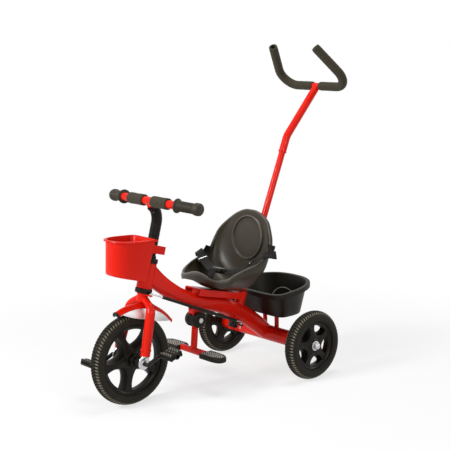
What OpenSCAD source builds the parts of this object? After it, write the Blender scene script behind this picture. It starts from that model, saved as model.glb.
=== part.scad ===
// Toddler trike with a push handle that steers the front wheel through a rod.
// Forward is -Y, the rider's left is +X and up is +Z. The floor is z = 0, and the origin lies
// on it under the middle of the trike's length.

/* [Wheels] */
// Diameter of the front tyre
front_wheel_d = 250; // [240:1:262]
// Diameter of both rear tyres
rear_wheel_d = 198; // [186:1:210]
// Width of every tyre
tyre_w = 41; // [37:1:43]
// Height of a tyre outside its rim
tyre_h = 27; // [24:1:30]
// Distance from the front axle to the rear axle
wheelbase = 497; // [480:1:515]
// Distance between the middle planes of the rear tyres
rear_track = 382; // [370:1:400]
// Diameter of the front and rear axles
axle_d = 12; // [10:0.5:13]
// Diameter of each wheel's hub
hub_d = 40; // [36:1:46]
// Number of spokes of each wheel
spoke_count = 5; // [4:1:6]
// Width of a spoke at its narrowest
spoke_w = 27; // [22:1:30]
// Thickness of a spoke
spoke_t = 18; // [14:1:22]
// Thickness of a rim's wall
rim_t = 5; // [4:0.5:7]

/* [Pedals] */
// Crank length from the axle to a pedal spindle
crank_len = 59; // [54:1:64]
// Angle of the left crank above the rear horizontal
crank_angle = 25; // [0:1:60]
// Diameter of a crank arm and its spindle
crank_d = 11; // [9:0.5:12]
// Width of a pedal along its spindle
pedal_w = 46; // [40:1:56]
// Depth of a pedal across its spindle
pedal_depth = 40; // [36:1:52]
// Thickness of a pedal
pedal_h = 19; // [17:0.5:22]

/* [Fork and stem] */
// Backward lean of the steering axis
head_lean = 16; // [14:0.5:18]
// Outside diameter of a fork leg
leg_d = 26; // [24:0.5:28]
// Sideways place of the top of a fork leg
leg_top_x = 46; // [44:0.5:49]
// Sideways place of the lower end of a fork leg
leg_end_x = 59; // [57:0.5:62]
// Height of the leg's lower end above the front axle
leg_end_up = 20; // [18:0.5:24]
// Diameter of the steerer inside the head tube
steerer_d = 25; // [22:0.5:27]
// Outside diameter of the head tube
head_d = 44; // [41:0.5:46]
// Length of the head tube
head_len = 70; // [62:1:78]
// Diameter of the plastic head cups
cup_d = 47; // [46:0.5:50]
// Height of a head cup outside the head tube
cup_h = 13; // [10:0.5:15]
// Outside diameter of the stem
stem_d = 30; // [28:0.5:32]
// Straight length of the stem above the head
stem_len = 95.7; // [90:0.1:104]
// Radius of the stem's forward bend
stem_bend_r = 52; // [45:1:60]
// Angle of the stem's forward bend
stem_bend = 53; // [45:1:62]

/* [Handlebar] */
// Diameter of the handlebar tube
bar_d = 22; // [20:0.5:24]
// Half of the handlebar's straight middle
bar_straight = 100; // [94:1:108]
// Backward sweep of the handlebar's ends
bar_sweep = 14; // [8:1:18]
// Diameter of the foam sleeves beside the stem
sleeve_d = 31; // [28:0.5:34]
// Place of the inner end of a foam sleeve
sleeve_from = 19; // [17:1:24]
// Length of a foam sleeve
sleeve_len = 65; // [55:1:72]
// Length of a rubber grip
grip_len = 80; // [72:1:90]
// Diameter of a grip's middle
grip_d = 28; // [26:0.5:31]
// Diameter of a grip's inner flange
grip_flange_d = 39; // [36:1:44]
// Diameter of a grip's bulb
grip_bulb_d = 34; // [32:1:38]

/* [Mudguard] */
// Gap from the front tyre to the mudguard's crest
guard_gap = 29; // [24:1:34]
// Width of the mudguard
guard_w = 54; // [50:1:56]
// Half of the angle that the mudguard covers
guard_half_angle = 38; // [32:1:42]
// Depth of a skirt at its middle
skirt_depth = 28; // [20:1:32]

/* [Frame] */
// Width of the main beam
beam_w = 38; // [34:1:40]
// Depth of the main beam at the head tube
beam_depth_front = 46; // [42:1:47]
// Rise of the beam's top edge at the head tube
beam_top_rise = 15; // [10:1:15]
// Depth of the main beam under the seat
beam_depth_mid = 40; // [36:1:44]
// Depth of the main beam at the rear axle
beam_depth_rear = 44; // [40:0.5:44]
// Extra depth of the main beam where the handle goes through it
beam_bulge = 8; // [4:1:10]
// Wall of the main beam
beam_wall = 2; // [1.5:0.1:3]
// Distance from the beam's middle point back to the rear axle
beam_mid_ahead = 219; // [209:1:229]
// Height of the beam's middle point
beam_mid_z = 227; // [222:1:234]
// Backward drop of the beam at its middle point
beam_mid_drop = 14; // [12:0.5:16]
// Outside diameter of the rear axle tube
axle_tube_d = 45; // [45:0.5:48]

/* [Push handle] */
// Backward lean of the handle's lower tube
handle_lean = 23.2; // [20:0.1:26]
// Diameter of the handle's lower tube and of the push bar
handle_d = 19; // [18:0.5:20]
// Length from the beam to the handle's bend
handle_len = 533; // [480:1:580]
// Angle of the handle's bend
handle_bend = 19.3; // [15:0.1:24]
// Length from the bend to the push bar
upper_len = 188; // [170:1:210]
// Outside diameter of the upper tube
upper_d = 22.4; // [22:0.2:24]
// Half of the push bar's straight middle
push_mid_half = 80; // [70:1:90]
// Radius of the push bar's bends
push_bend_r = 45; // [38:1:52]
// Turn of each of the push bar's bends
push_bend = 111; // [100:1:118]
// Straight length of each of the push bar's arms
push_arm = 95; // [80:1:110]
// Diameter of the foam on the push bar
push_foam_d = 27; // [25:0.5:30]
// Diameter of the socket that holds the handle
socket_d = 30; // [28:0.5:32]
// Height of the socket above the middle of the beam
socket_up = 60; // [54:1:64]

/* [Steering rod] */
// Radius of the steering levers on the fork and the handle
lever_r = 32; // [31:0.5:34]
// Diameter of the rod's wire
wire_d = 5; // [4:0.25:5.5]
// Diameter of the sleeve on the rod
rod_sleeve_d = 9; // [8:0.5:10]

/* [Seat] */
// Width of the seat
seat_w = 238; // [222:1:250]
// Height of the seat plate's top above the beam's middle line
seat_rise = 41.6; // [38:0.2:46]
// Height of the seat's back above the plate
seat_back_h = 236; // [220:1:250]
// Distance from the seat's middle back to its backrest
seat_back_y = 111; // [104:0.5:112]
// Distance from the seat's middle forward to the pommel
seat_front_y = 62; // [54:1:70]
// Thickness of the seat shell
seat_t = 4; // [3:0.25:5]
// Diameter of the round panel on the seat's back
panel_d = 131; // [118:1:136]
// Width of the seat plate
plate_w = 66; // [56:1:76]
// Width of the harness webbing
strap_w = 25; // [20:1:30]

/* [Baskets] */
// Width of the front basket at its rim
front_basket_w = 106; // [96:1:118]
// Depth of the front basket at its rim
front_basket_depth = 116; // [106:1:126]
// Height of the front basket's back wall
front_basket_h = 110; // [98:1:114]
// Wall of the front basket
front_basket_wall = 2.5; // [2:0.25:3.5]
// Width of the rear basket at its rim
rear_basket_w = 232; // [216:1:250]
// Depth of the rear basket at its rim
rear_basket_depth = 178; // [166:1:190]
// Height of the rear basket
rear_basket_h = 89; // [78:1:94]
// Wall of the rear basket
rear_basket_wall = 3; // [2:0.25:4]
// Height of the rear basket's floor
rear_basket_z = 155; // [148:1:160]

/* [Footrest] */
// Length of the footrest's post
post_len = 90; // [80:1:96]
// Diameter of the footrest's post and cross tube
post_d = 19; // [17:0.5:21]
// Width of each foot pad
pad_w = 80; // [70:1:88]
// Depth of each foot pad
pad_depth = 44; // [38:1:52]
// Thickness of each foot pad
pad_h = 17; // [15:0.5:20]
// Diameter of the hinge covers
hinge_d = 44; // [38:1:46]

/* [Hidden] */
$fn = 48;

// Colours
red = [0.86, 0.07, 0.05];
black = [0.09, 0.09, 0.09];
grey = [0.24, 0.24, 0.23];
silver = [0.75, 0.75, 0.76];

// Clearances: a running fit, faces seated in one body, and bodies that pass each other
run_gap = 0.05;
seat_gap = 0.1;
pass_gap = 0.4;
rod_play = 0.3;

// Overlap of cutters past the face that they cut, and of parts that are welded together
over = 1;

// Extra radius of a bend or a ball over the straight rod that it joins
swell = 0.1;

// Plane geometry, in the side view's y and z
front_r = front_wheel_d / 2;
rear_r = rear_wheel_d / 2;

function unit(v) = v / norm(v);
function lerp(a, b, t) = a + (b - a) * t;
function bezier(p, t) =
    pow(1 - t, 3) * p[0] + 3 * t * pow(1 - t, 2) * p[1] + 3 * t * t * (1 - t) * p[2] + pow(t, 3) * p[3];
function bezier_dir(p, t) =
    unit(pow(1 - t, 2) * (p[1] - p[0]) + 2 * t * (1 - t) * (p[2] - p[1]) + t * t * (p[3] - p[2]));
// Point a distance along a line that leans back from upright
function up_line(from, lean, dist) = from + dist * [sin(lean), cos(lean)];
// Point in a frame that leans back, given its place across and along the lean
function leaned(from, lean, across, along) = up_line(from, lean, along) + across * [cos(lean), -sin(lean)];
// Direction that runs back and drops by an angle
function down_back(drop) = [cos(drop), -sin(drop)];
// Power that keeps the sign, for rounded rectangles
function spow(c, p) = sign(c) * pow(abs(c), p);

// Heights along the steering axis, from the front axle
guard_r = front_r + guard_gap;
guard_shift = 17;
guard_t = 2.4;
guard_back = leaned([0, front_r], head_lean, guard_shift + guard_r * sin(guard_half_angle),
                    guard_r * cos(guard_half_angle));
neck_s = guard_r + pass_gap;
neck_h = 26;
neck_d = 30;
cup_s = neck_s + neck_h + pass_gap;
head_s = cup_s + cup_h;
head_top_s = head_s + head_len;
stem_s = head_top_s + cup_h + pass_gap;
head_wall = 5;
head_bore = head_d - 2 * head_wall;
spigot_len = 12;
cup_edge = 2;

// Fork
leg_wall = 2;
arm_d = 19;
arm_top_x = 10;
arm_top_s = neck_s + neck_h - 12;
leg_top_s = neck_s - 9;
leg_id = leg_d - 2 * leg_wall;
leg_angle = atan2(leg_top_x - leg_end_x, leg_top_s - leg_end_up);
leg_len = norm([leg_top_x - leg_end_x, leg_top_s - leg_end_up]);
steerer_wall = 2.5;
dropout_t = 6;
dropout_d = 34;
dropout_web = 18;
plug_len = 34;
dropout_bolt_d = 5;
dropout_bolt_up = 16;
dropout_head_d = 9;
dropout_head_h = 3;
tab_t = 4;
tab_w = 13;
tab_s = neck_s + neck_h - tab_t;
arm_angle = atan2(leg_top_x - arm_top_x, leg_top_s - arm_top_s);
arm_len = norm([leg_top_x - arm_top_x, leg_top_s - arm_top_s]);
steerer_bore = steerer_d - 2 * steerer_wall;
web_in = 3;

// Mudguard
guard_crown = 8;
guard_taper = 0.3;
guard_steps = 10;
guard_cols = 5;
skirt_t = 2;
skirt_x = guard_w / 2 - 2;
skirt_share = 0.92;
skirt_power = 0.8;
skirt_edge = 0.5;

// Stem and handlebar
stem_wall = 5;
stem_id = stem_d - 2 * stem_wall;
stem_tail = 4;
quill_len = 60;
stub_len = 6;
stub_in = 3.6;
bar_wall = 2;
stem_bend_s = stem_s + stem_len;
stem_dir = [-sin(stem_bend), cos(stem_bend)];
stem_bend_end = [-stem_bend_r * (1 - cos(stem_bend)), stem_bend_s + stem_bend_r * sin(stem_bend)];
stem_end = stem_bend_end + stem_tail * stem_dir;
bar_at = stem_end + (bar_d / 2 + stub_len) * stem_dir;
grip_flange_t = 5;
grip_bulb_len = 24;
grip_end_t = 4;
grip_neck = 4;
grip_ramp = 8;
grip_round = 6;
bar_bend_r = 45;
grip_from = 4;

// Front basket, in the steering frame
front_basket_back = -cup_d / 2 - 2.5;
front_basket_floor_s = head_s + 20;
front_basket_tilt = 0.21;
front_basket_floor_w = front_basket_w - 14;
front_basket_floor_depth = front_basket_depth - 20;
front_basket_floor_t = 3;
front_basket_split = 30;
front_basket_powers = [2.5, 6];
front_lip_w = 5;
front_lip_h = 4;
front_lip_t = 2;
clip_s = stem_s + 14;
clip_h = 22;
clip_w = 40;
clip_back = 32;
clip_screw_d = 5;
clip_screw_x = 13;
clip_screw_in = 14;
clip_head_d = 10;
clip_head_h = 3;
clip_head_out = 1.2;

// Beam, as two curves from the head tube to the middle and on to the rear axle
rear_axle_at = [wheelbase, rear_r];
head_at = up_line([0, front_r], head_lean, head_s + head_len / 2);
mid_at = [wheelbase - beam_mid_ahead, beam_mid_z];
mid_dir = down_back(beam_mid_drop);
front_drop = 42;
rear_drop = 42;
front_pull = 80;
mid_pull = 80;
mid_pull_back = 100;
beam_front = [head_at, head_at + front_pull * down_back(front_drop), mid_at - mid_pull * mid_dir, mid_at];
beam_rear = [mid_at, mid_at + mid_pull_back * mid_dir,
             rear_axle_at - mid_pull * down_back(rear_drop), rear_axle_at];
beam_low_rise = 6;
beam_steps = 12;
beam_sides = 24;
beam_power = 2 / 2.6;
axle_tube_wall = 2.5;
axle_tube_half = rear_track / 2 - 13;
axle_plug_t = 12;
rear_hub_out = 14;
nut_d = 22;
nut_h = 10;
washer_d = 28;
washer_t = 2;
axle_stub = 3;
rear_axle_half = rear_track / 2 + rear_hub_out + pass_gap + nut_h + axle_stub;
rear_hub_in = rear_track / 2 - axle_tube_half - pass_gap;

// Handle, from the point where it crosses the beam
pivot_t = 0.415;
pivot_at = bezier(beam_rear, pivot_t);
socket_down = 31;
socket_wall = 3.5;
socket_bore = socket_d - 2 * socket_wall;
bush_flange_t = 3;
bush_flange_d = socket_d + 2;
bush_len = 18;
lever_top = -(socket_down + bush_flange_t + pass_gap);
lever_t = 5;
lever_w = 15;
lever_collar_h = 14;
lever_collar_d = 28;
handle_tail = 4;
handle_foot = lever_top - lever_collar_h - handle_tail;
tube_wall = 1.8;
handle_bend_r = 60;
bend_cut = handle_bend_r * tan(handle_bend / 2);
upper_lap = 40;
push_tilt = 62;
push_at = [handle_len + upper_len * cos(handle_bend), upper_len * sin(handle_bend)];
push_bare = 14;
push_centre = leaned(pivot_at, handle_lean, push_at[1], push_at[0]);

// Middle of the trike's length, from the front tyre to the back of the push bar
middle_y = (push_centre[0] + push_foam_d / 2 - front_r) / 2;

// Steering rod, from above the fork's tab to above the handle's lever
wire_up_front = 4.5;
wire_up_rear = 6.5;
pin_below_front = 4;
pin_below_rear = 8;
rod_front = up_line([0, front_r], head_lean, tab_s + tab_t + wire_up_front);
rod_rear = up_line(pivot_at, handle_lean, lever_top + wire_up_rear);
rod_len = norm(rod_rear - rod_front);
rod_turn = -atan2(rod_rear[0] - rod_front[0], rod_rear[1] - rod_front[1]);
rod_sleeve_from = 44;
rod_sleeve_to = 22;

// Cranks and pedals
front_hub_half = 30;
spacer_d = 24;
crank_gap = 1.2;
pedal_gap = 3;
crank_x = leg_end_x + leg_d / 2 + crank_gap + crank_d / 2;
pedal_from = crank_x + crank_d / 2 + pedal_gap;
cap_d = 17;
cap_h = 5;
spindle_end = pedal_from + pedal_w + pass_gap + cap_h;
pedal_tilt = 15;
pedal_groove = 3;
pedal_grooves = 4;
groove_w = pedal_w / (2 * pedal_grooves + 1);

// Rim of each wheel
rim_w = tyre_w - 5;
spoke_back = 8;
spoke_flare = 0.65;
spoke_in = 0.8;
spoke_points = 8;
front_wheel_turn = -12;
rear_wheel_turn = 188;

// Seat, in a frame on the middle of the beam that drops back with it
seat_pan_z = seat_rise + seat_t + pass_gap;
seat_top_z = seat_rise + seat_back_h;
plate_t = 3;
plate_flange = 19;
plate_from = -68;
plate_to = 96;
lug_w = 26;
lug_t = 14;
lug_at = [-50, 58];
seat_bolt_at = [18, 40];
seat_bolt_d = 6;
seat_bolt_head_d = 13;
seat_bolt_head_h = 3.5;
seat_bolt_below = 8;
seat_nut_d = 11;
seat_nut_h = 5;
leg_dip = 18;
seat_half = seat_w / 2;
// Rows from the front edge to the top: middle y and z, share of the half width, rim y and z
seat_rows = [
    [-seat_front_y, seat_pan_z + 40, 0.78, -seat_front_y + 24, seat_pan_z + 24],
    [-seat_front_y + 12, seat_pan_z + 20, 0.85, -seat_front_y + 38, seat_pan_z + 36],
    [-seat_front_y + 40, seat_pan_z + 4, 0.9, -seat_front_y + 62, seat_pan_z + 56],
    [-seat_front_y + 72, seat_pan_z, 0.93, -seat_front_y + 82, seat_pan_z + 70],
    [seat_back_y - 72, seat_pan_z, 0.96, seat_back_y - 70, seat_pan_z + 82],
    [seat_back_y - 36, seat_pan_z + 2, 0.98, seat_back_y - 46, seat_pan_z + 97],
    [seat_back_y - 15, seat_pan_z + 14, 1, seat_back_y - 32, seat_pan_z + 116],
    [seat_back_y - 2, seat_pan_z + 48, 1, seat_back_y - 27, seat_pan_z + 138],
    [seat_back_y, seat_pan_z + 94, 0.91, seat_back_y - 25, seat_top_z - 74],
    [seat_back_y - 4, seat_top_z - 88, 0.77, seat_back_y - 21, seat_top_z - 54],
    [seat_back_y - 9, seat_top_z - 43, 0.57, seat_back_y - 14, seat_top_z - 28],
    [seat_back_y - 12, seat_top_z, 0.3, seat_back_y - 11, seat_top_z - 7]
];
seat_steps = 3;
seat_cols = 16;
panel_t = 3;
panel_rows = [7, 10.95];
panel_reach = 0.9;
panel_steps = 14;
panel_cols = 8;
panel_below = 77;

// Harness, in the seat frame
strap_t = 2;
buckle_at = [0, 18, seat_pan_z + 50];
buckle_size = [46, 38, 14];
button_d = 18;
button_h = 2;
strap_inner = buckle_at[0] + buckle_size[0] / 2 + 5;
// Sideways place between the buckle and the seat's edge
function strap_x(share) = lerp(strap_inner, seat_half, share);
// Middle line of a lap strap, from its loose tail over the seat's edge to the buckle
lap_route = [
    [seat_half + 22, seat_back_y - 16, seat_pan_z + 121],
    [seat_half + 14, seat_back_y - 32, seat_pan_z + 119],
    [seat_half - 2, seat_back_y - 48, seat_pan_z + 114],
    [strap_x(0.76), seat_back_y - 58, seat_pan_z + 94],
    [strap_x(0.45), seat_back_y - 72, seat_pan_z + 66],
    [strap_x(0.165), seat_back_y - 86, seat_pan_z + 53],
    [strap_inner, buckle_at[1], buckle_at[2]]
];
crotch_route = [
    [0, buckle_at[1] - 38, seat_pan_z + 6],
    [0, buckle_at[1] - 32, seat_pan_z + 15],
    [0, buckle_at[1] - 28, seat_pan_z + 34],
    [0, buckle_at[1] - buckle_size[1] / 2 - 1, buckle_at[2]]
];

// Rear basket and its struts
rear_basket_from = wheelbase - 60;
rear_basket_tilt = 0.08;
rear_basket_floor_from = rear_basket_from + 45;
rear_basket_floor_depth = rear_basket_depth - 64;
rear_basket_floor_w = rear_basket_w - 64;
rear_basket_split = 60;
rear_floor_split = 50;
rear_basket_powers = [5, 2.4];
rear_lip_w = 9;
rear_lip_h = 13;
strut_x = 25;
strut_d = 13;
strut_back = 20;
strut_foot = [26, 26, 3];

// Footrest
hinge_share = 0.2919;
hinge_ahead = hinge_share * (mid_at[0] - guard_back[0]);
hinge_below = 47;
hinge_at = leaned(mid_at, beam_mid_drop, -hinge_ahead, -hinge_below);
hinge_bolt_d = 8;
hinge_head_d = 14;
hinge_head_h = 3;
eye_w = 15;
eye_d = 32;
post_eye_d = 30;
post_short = 2;
cheek_t = 3;
cover_t = 12;
cover_from = eye_w / 2 + pass_gap + cheek_t + seat_gap;
bridge_t = 14;
bridge_below = 8;
post_lean = 6;
foot_at = up_line(hinge_at, post_lean, -post_len);
cross_half = 50;
pad_spindle_d = 10;
pad_spindle_half = cross_half + 0.74 * pad_w;
pad_ribs = 7;
pad_rib_h = 2.5;
pad_rib_w = pad_w / (2 * pad_ribs + 1);
pad_round = 0.55;
pad_power = 2.6;
pad_points = 12;

// Frames
module trike() translate([0, -middle_y, 0]) children();
// Origin at the front axle's middle, z up the steering axis
module steered() trike() translate([0, 0, front_r]) rotate([-head_lean, 0, 0]) children();
// Origin where the handle crosses the beam, z up the lower tube
module poled() trike() translate([0, pivot_at[0], pivot_at[1]]) rotate([-handle_lean, 0, 0]) children();
// Origin on the middle of the beam, y back along it
module seated() trike() translate([0, mid_at[0], mid_at[1]]) rotate([-beam_mid_drop, 0, 0]) children();
// Origin at the middle of the push bar, z along its arms' plane
module barred() poled() translate([0, push_at[1], push_at[0]]) rotate([push_tilt, 0, 0]) children();
// Draws what is on the left, and its mirror on the right
module both() {
    children();
    mirror([1, 0, 0]) children();
}
module right() mirror([1, 0, 0]) children();

// Rods and tubes along X
module x_rod(d, from, to) translate([from, 0, 0]) rotate([0, 90, 0]) cylinder(d = d, h = to - from);
module x_tube(d, bore, from, to) difference() {
    x_rod(d, from, to);
    x_rod(bore, from - over, to + over);
}
module z_tube(d, bore, from, to) difference() {
    translate([0, 0, from]) cylinder(d = d, h = to - from);
    translate([0, 0, from - over]) cylinder(d = bore, h = to - from + 2 * over);
}
// Bend of a rod or tube, in the plane of x and y round the origin
module bend(d, r, angle) rotate_extrude(angle = angle) translate([r, 0]) circle(d = d + 2 * swell);
// Bend that leaves the origin along z and turns towards +y
module back_bend(d, r, angle) translate([0, r, 0]) rotate([90, 0, -90]) bend(d, r, angle);
module ball(d) sphere(d = d + 2 * swell);

// Closed solid through rings of points that run anticlockwise seen from its far end
module loft(rings) {
    n = len(rings[0]);
    m = len(rings);
    polyhedron(points = [for (ring = rings) each ring], faces = concat(
        [[for (i = [0:n - 1]) i]],
        ring_sides(n, m),
        [[for (i = [n - 1:-1:0]) (m - 1) * n + i]]));
}
function ring_sides(n, m) = [
    for (k = [0:m - 2]) for (i = [0:n - 1]) each [
        [k * n + i, (k + 1) * n + i, (k + 1) * n + (i + 1) % n],
        [k * n + i, (k + 1) * n + (i + 1) % n, k * n + (i + 1) % n]
    ]
];
// Loft whose rings are a thin sheet's upper row and then its lower row backwards
module sheet_loft(rings) {
    n = len(rings[0]);
    m = len(rings);
    half = n / 2;
    polyhedron(points = [for (ring = rings) each ring], faces = concat(
        [for (j = [0:half - 2]) each sheet_end(j, n, 0, false)],
        ring_sides(n, m),
        [for (j = [0:half - 2]) each sheet_end(j, n, (m - 1) * n, true)]));
}
function sheet_end(j, n, base, far) =
    let (a = base + j, b = base + j + 1, c = base + n - 2 - j, d = base + n - 1 - j)
    far ? [[a, c, b], [a, d, c]] : [[a, b, c], [a, c, d]];

// Round corners of a D or oval outline, seen from above
function plan(half_w, from, to, split, power_from, power_to, z, tilt) = [
    for (i = [0:35]) let (
        a = 10 * i,
        power = sin(a) < 0 ? power_from : power_to,
        reach = sin(a) < 0 ? split - from : to - split,
        y = split + reach * spow(sin(a), 2 / power))
    [half_w * spow(cos(a), 2 / power), y, z + tilt * (y - split)]
];
// Open tub with a turned-down rim: low and high are [half width, from, to, split, z, tilt]
module tub(low, high, powers, wall, floor_t, lip_w, lip_h, lip_t) {
    function ring(at, grow, drop) = plan(at[0] + grow, at[1] - grow, at[2] + grow, at[3],
                                         powers[0], powers[1], at[4] - drop, at[5]);
    loft([
        ring(low, 0, 0), ring(high, 0, lip_t), ring(high, lip_w - lip_t, lip_t),
        ring(high, lip_w - lip_t, lip_h), ring(high, lip_w, lip_h), ring(high, lip_w, 0),
        ring(high, -wall, 0), ring(low, -wall, -floor_t)
    ]);
}
// Flat webbing along a route, lying across the given direction
module webbing(route, width, thick, across) {
    steps = 4;
    last = len(route) - 1;
    function at(u) = catmull(route, u);
    function ring(u) = let (
        p = at(u),
        along = unit(at(min(u + 0.05, last)) - at(max(u - 0.05, 0))),
        side = unit(across - along * (across * along)),
        face = cross(along, side))
        [for (c = [[-1, -1], [1, -1], [1, 1], [-1, 1]])
            p + side * c[0] * width / 2 + face * c[1] * thick / 2];
    loft([for (k = [0:last * steps]) ring(k / steps)]);
}
// Smooth curve through rows of numbers
function catmull(rows, u) = let (
    last = len(rows) - 1,
    i = min(floor(u), last - 1),
    t = u - i,
    p0 = rows[max(i - 1, 0)], p1 = rows[i], p2 = rows[i + 1], p3 = rows[min(i + 2, last)])
    0.5 * (2 * p1 + (p2 - p0) * t + (2 * p0 - 5 * p1 + 4 * p2 - p3) * t * t
           + (3 * p1 - p0 - 3 * p2 + p3) * t * t * t);

// Main beam
function beam_depth(rear, t) = rear
    ? lerp(beam_depth_mid, beam_depth_rear, t) + 4 * beam_bulge * t * (1 - t)
    : lerp(beam_depth_front, beam_depth_mid, t);
// The front of the beam rises at the head tube, more at its top edge than at its lower edge
function beam_rise(rear, t, upper) = rear ? 0 : pow(1 - t, 3) * (upper ? beam_top_rise : -beam_low_rise);
function beam_ring(curve, rear, t, grow) = let (
    p = bezier(curve, t),
    dir = bezier_dir(curve, t),
    depth = beam_depth(rear, t) / 2 + grow,
    side = beam_w / 2 + grow)
    [for (i = [0:beam_sides - 1]) let (
        a = 360 * i / beam_sides,
        n = (depth + beam_rise(rear, t, sin(a) < 0)) * spow(sin(a), beam_power))
        [side * spow(cos(a), beam_power), p[0] + n * dir[1], p[1] - n * dir[0]]];
module beam_solid(grow) loft(concat(
    [for (k = [0:beam_steps - 1]) beam_ring(beam_front, false, k / beam_steps, grow)],
    [for (k = [0:beam_steps]) beam_ring(beam_rear, true, k / beam_steps, grow)]));

module main_beam() color(red) difference() {
    trike() difference() {
        beam_solid(0);
        beam_solid(-beam_wall);
        translate([0, rear_axle_at[0], rear_axle_at[1]])
            x_rod(axle_tube_d + 2 * seat_gap, -axle_tube_half, axle_tube_half);
    }
    steered() translate([0, 0, head_s - over])
        cylinder(d = head_d + 2 * seat_gap, h = head_len + 2 * over);
    poled() translate([0, 0, -socket_down])
        cylinder(d = socket_d + 2 * seat_gap, h = socket_up + socket_down);
}

module head_tube() color(red) steered() z_tube(head_d, head_bore, head_s, head_top_s);

// Cup with a spigot that points up into the head tube
module cup() difference() {
    union() {
        rotate_extrude() polygon([
            [0, 0], [cup_d / 2 - cup_edge, 0], [cup_d / 2, cup_edge],
            [cup_d / 2, cup_h - cup_edge], [cup_d / 2 - cup_edge, cup_h], [0, cup_h]
        ]);
        cylinder(d = head_bore - 2 * seat_gap, h = cup_h + spigot_len);
    }
    translate([0, 0, -over]) cylinder(d = steerer_d + 2 * run_gap, h = cup_h + spigot_len + 2 * over);
}
module lower_head_cup() color(black) steered() translate([0, 0, cup_s]) cup();
module upper_head_cup() color(black) steered() translate([0, 0, head_top_s + cup_h]) mirror([0, 0, 1]) cup();

// Rear axle and its tube
module at_rear_axle() trike() translate([0, rear_axle_at[0], rear_axle_at[1]]) children();
module rear_axle_tube() color(red) at_rear_axle()
    x_tube(axle_tube_d, axle_tube_d - 2 * axle_tube_wall, -axle_tube_half, axle_tube_half);
module axle_end_plugs() color(black) at_rear_axle() both()
    x_tube(axle_tube_d - 2 * axle_tube_wall - 2 * seat_gap, axle_d + 2 * seat_gap,
           axle_tube_half - axle_plug_t, axle_tube_half);
module rear_axle() color(silver) at_rear_axle() x_rod(axle_d, -rear_axle_half, rear_axle_half);
module axle_nuts() color(silver) at_rear_axle() both()
    translate([rear_track / 2 + rear_hub_out + pass_gap, 0, 0]) rotate([0, 90, 0]) difference() {
        union() {
            cylinder(d = washer_d, h = washer_t);
            cylinder(d = nut_d, h = nut_h, $fn = 6);
        }
        translate([0, 0, -over]) cylinder(d = axle_d + 2 * seat_gap, h = nut_h + 2 * over);
    }

// Socket that carries the push handle
module handle_socket() color(red) poled() z_tube(socket_d, socket_bore, -socket_down, socket_up);
module bush() difference() {
    union() {
        cylinder(d = bush_flange_d, h = bush_flange_t);
        translate([0, 0, -bush_len]) cylinder(d = socket_bore - 2 * seat_gap, h = bush_len + over);
    }
    translate([0, 0, -bush_len - over])
        cylinder(d = handle_d + 2 * run_gap, h = bush_len + bush_flange_t + 2 * over);
}
module socket_bushes() color(black) poled() {
    translate([0, 0, socket_up]) bush();
    translate([0, 0, -socket_down]) mirror([0, 0, 1]) bush();
}

// Seat plate on two lugs that stand on the beam
module seat_bolt_holes(top) for (y = seat_bolt_at) translate([0, y, 0])
    cylinder(d = seat_bolt_d + 2 * seat_gap, h = top + over);
module seat_plate() color(red) difference() {
    seated() difference() {
        union() {
            translate([-plate_w / 2, plate_from, seat_rise - plate_t])
                cube([plate_w, plate_to - plate_from, plate_t]);
            for (y = lug_at) translate([-lug_w / 2, y - lug_t / 2, 0])
                cube([lug_w, lug_t, seat_rise - plate_t + over]);
            both() translate([plate_w / 2 - plate_t, plate_from, seat_rise - plate_flange])
                cube([plate_t, plate_to - plate_from, plate_flange]);
        }
        seat_bolt_holes(seat_rise);
    }
    trike() beam_solid(seat_gap);
}
module seat_bolts() color(silver) seated() for (y = seat_bolt_at) translate([0, y, 0]) {
    translate([0, 0, seat_rise - plate_t - seat_bolt_below])
        cylinder(d = seat_bolt_d, h = seat_pan_z - seat_rise + plate_t + seat_bolt_below + over);
    translate([0, 0, seat_pan_z + pass_gap]) cylinder(d = seat_bolt_head_d, h = seat_bolt_head_h);
    translate([0, 0, seat_rise - plate_t - seat_gap - seat_nut_h])
        cylinder(d = seat_nut_d, h = seat_nut_h, $fn = 6);
}

// Seat shell: each row is a half ellipse from rim to rim, with two dips for the legs at the front
function seat_point(u, v) = let (
    row = catmull(seat_rows, u),
    rise = 1 - cos(90 * v),
    dip = leg_dip * pow(sin(180 * v), 2) * pow(max(0, 1 - u / 2.2), 2))
    [seat_half * row[2] * sin(90 * v), lerp(row[0], row[3], rise), lerp(row[1], row[4], rise) - dip];
// Point that far under the seat's upper face, square to it
function seat_under(u, v, depth) = let (
    e = 0.05,
    last = len(seat_rows) - 1,
    along = seat_point(min(u + e, last), v) - seat_point(max(u - e, 0), v),
    across = seat_point(u, v + e) - seat_point(u, v - e))
    seat_point(u, v) + depth * unit(cross(along, across));
module seat_shell() color(black) seated() difference() {
    sheet_loft([for (k = [0:(len(seat_rows) - 1) * seat_steps]) let (u = k / seat_steps) concat(
        [for (j = [-seat_cols / 2:seat_cols / 2]) seat_point(u, 2 * j / seat_cols)],
        [for (j = [seat_cols / 2:-1:-seat_cols / 2]) seat_under(u, 2 * j / seat_cols, seat_t)])]);
    seat_bolt_holes(seat_pan_z);
}
// Round panel on the front of the backrest, bent to the same curve
function panel_row(u, depth) = [for (j = [-panel_cols:panel_cols])
    seat_under(u, panel_reach * j / panel_cols, depth)];
function panel_ring(u) = let (lower = panel_row(u, -pass_gap))
    concat(panel_row(u, -pass_gap - panel_t), [for (j = [2 * panel_cols:-1:0]) lower[j]]);
module seat_back_panel() color(grey) seated() intersection() {
    sheet_loft([for (k = [0:panel_steps]) panel_ring(lerp(panel_rows[0], panel_rows[1], k / panel_steps))]);
    translate([0, seat_back_y, seat_top_z - panel_below]) rotate([90, 0, 0])
        cylinder(d = panel_d, h = 2 * seat_half, center = true);
}

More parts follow.
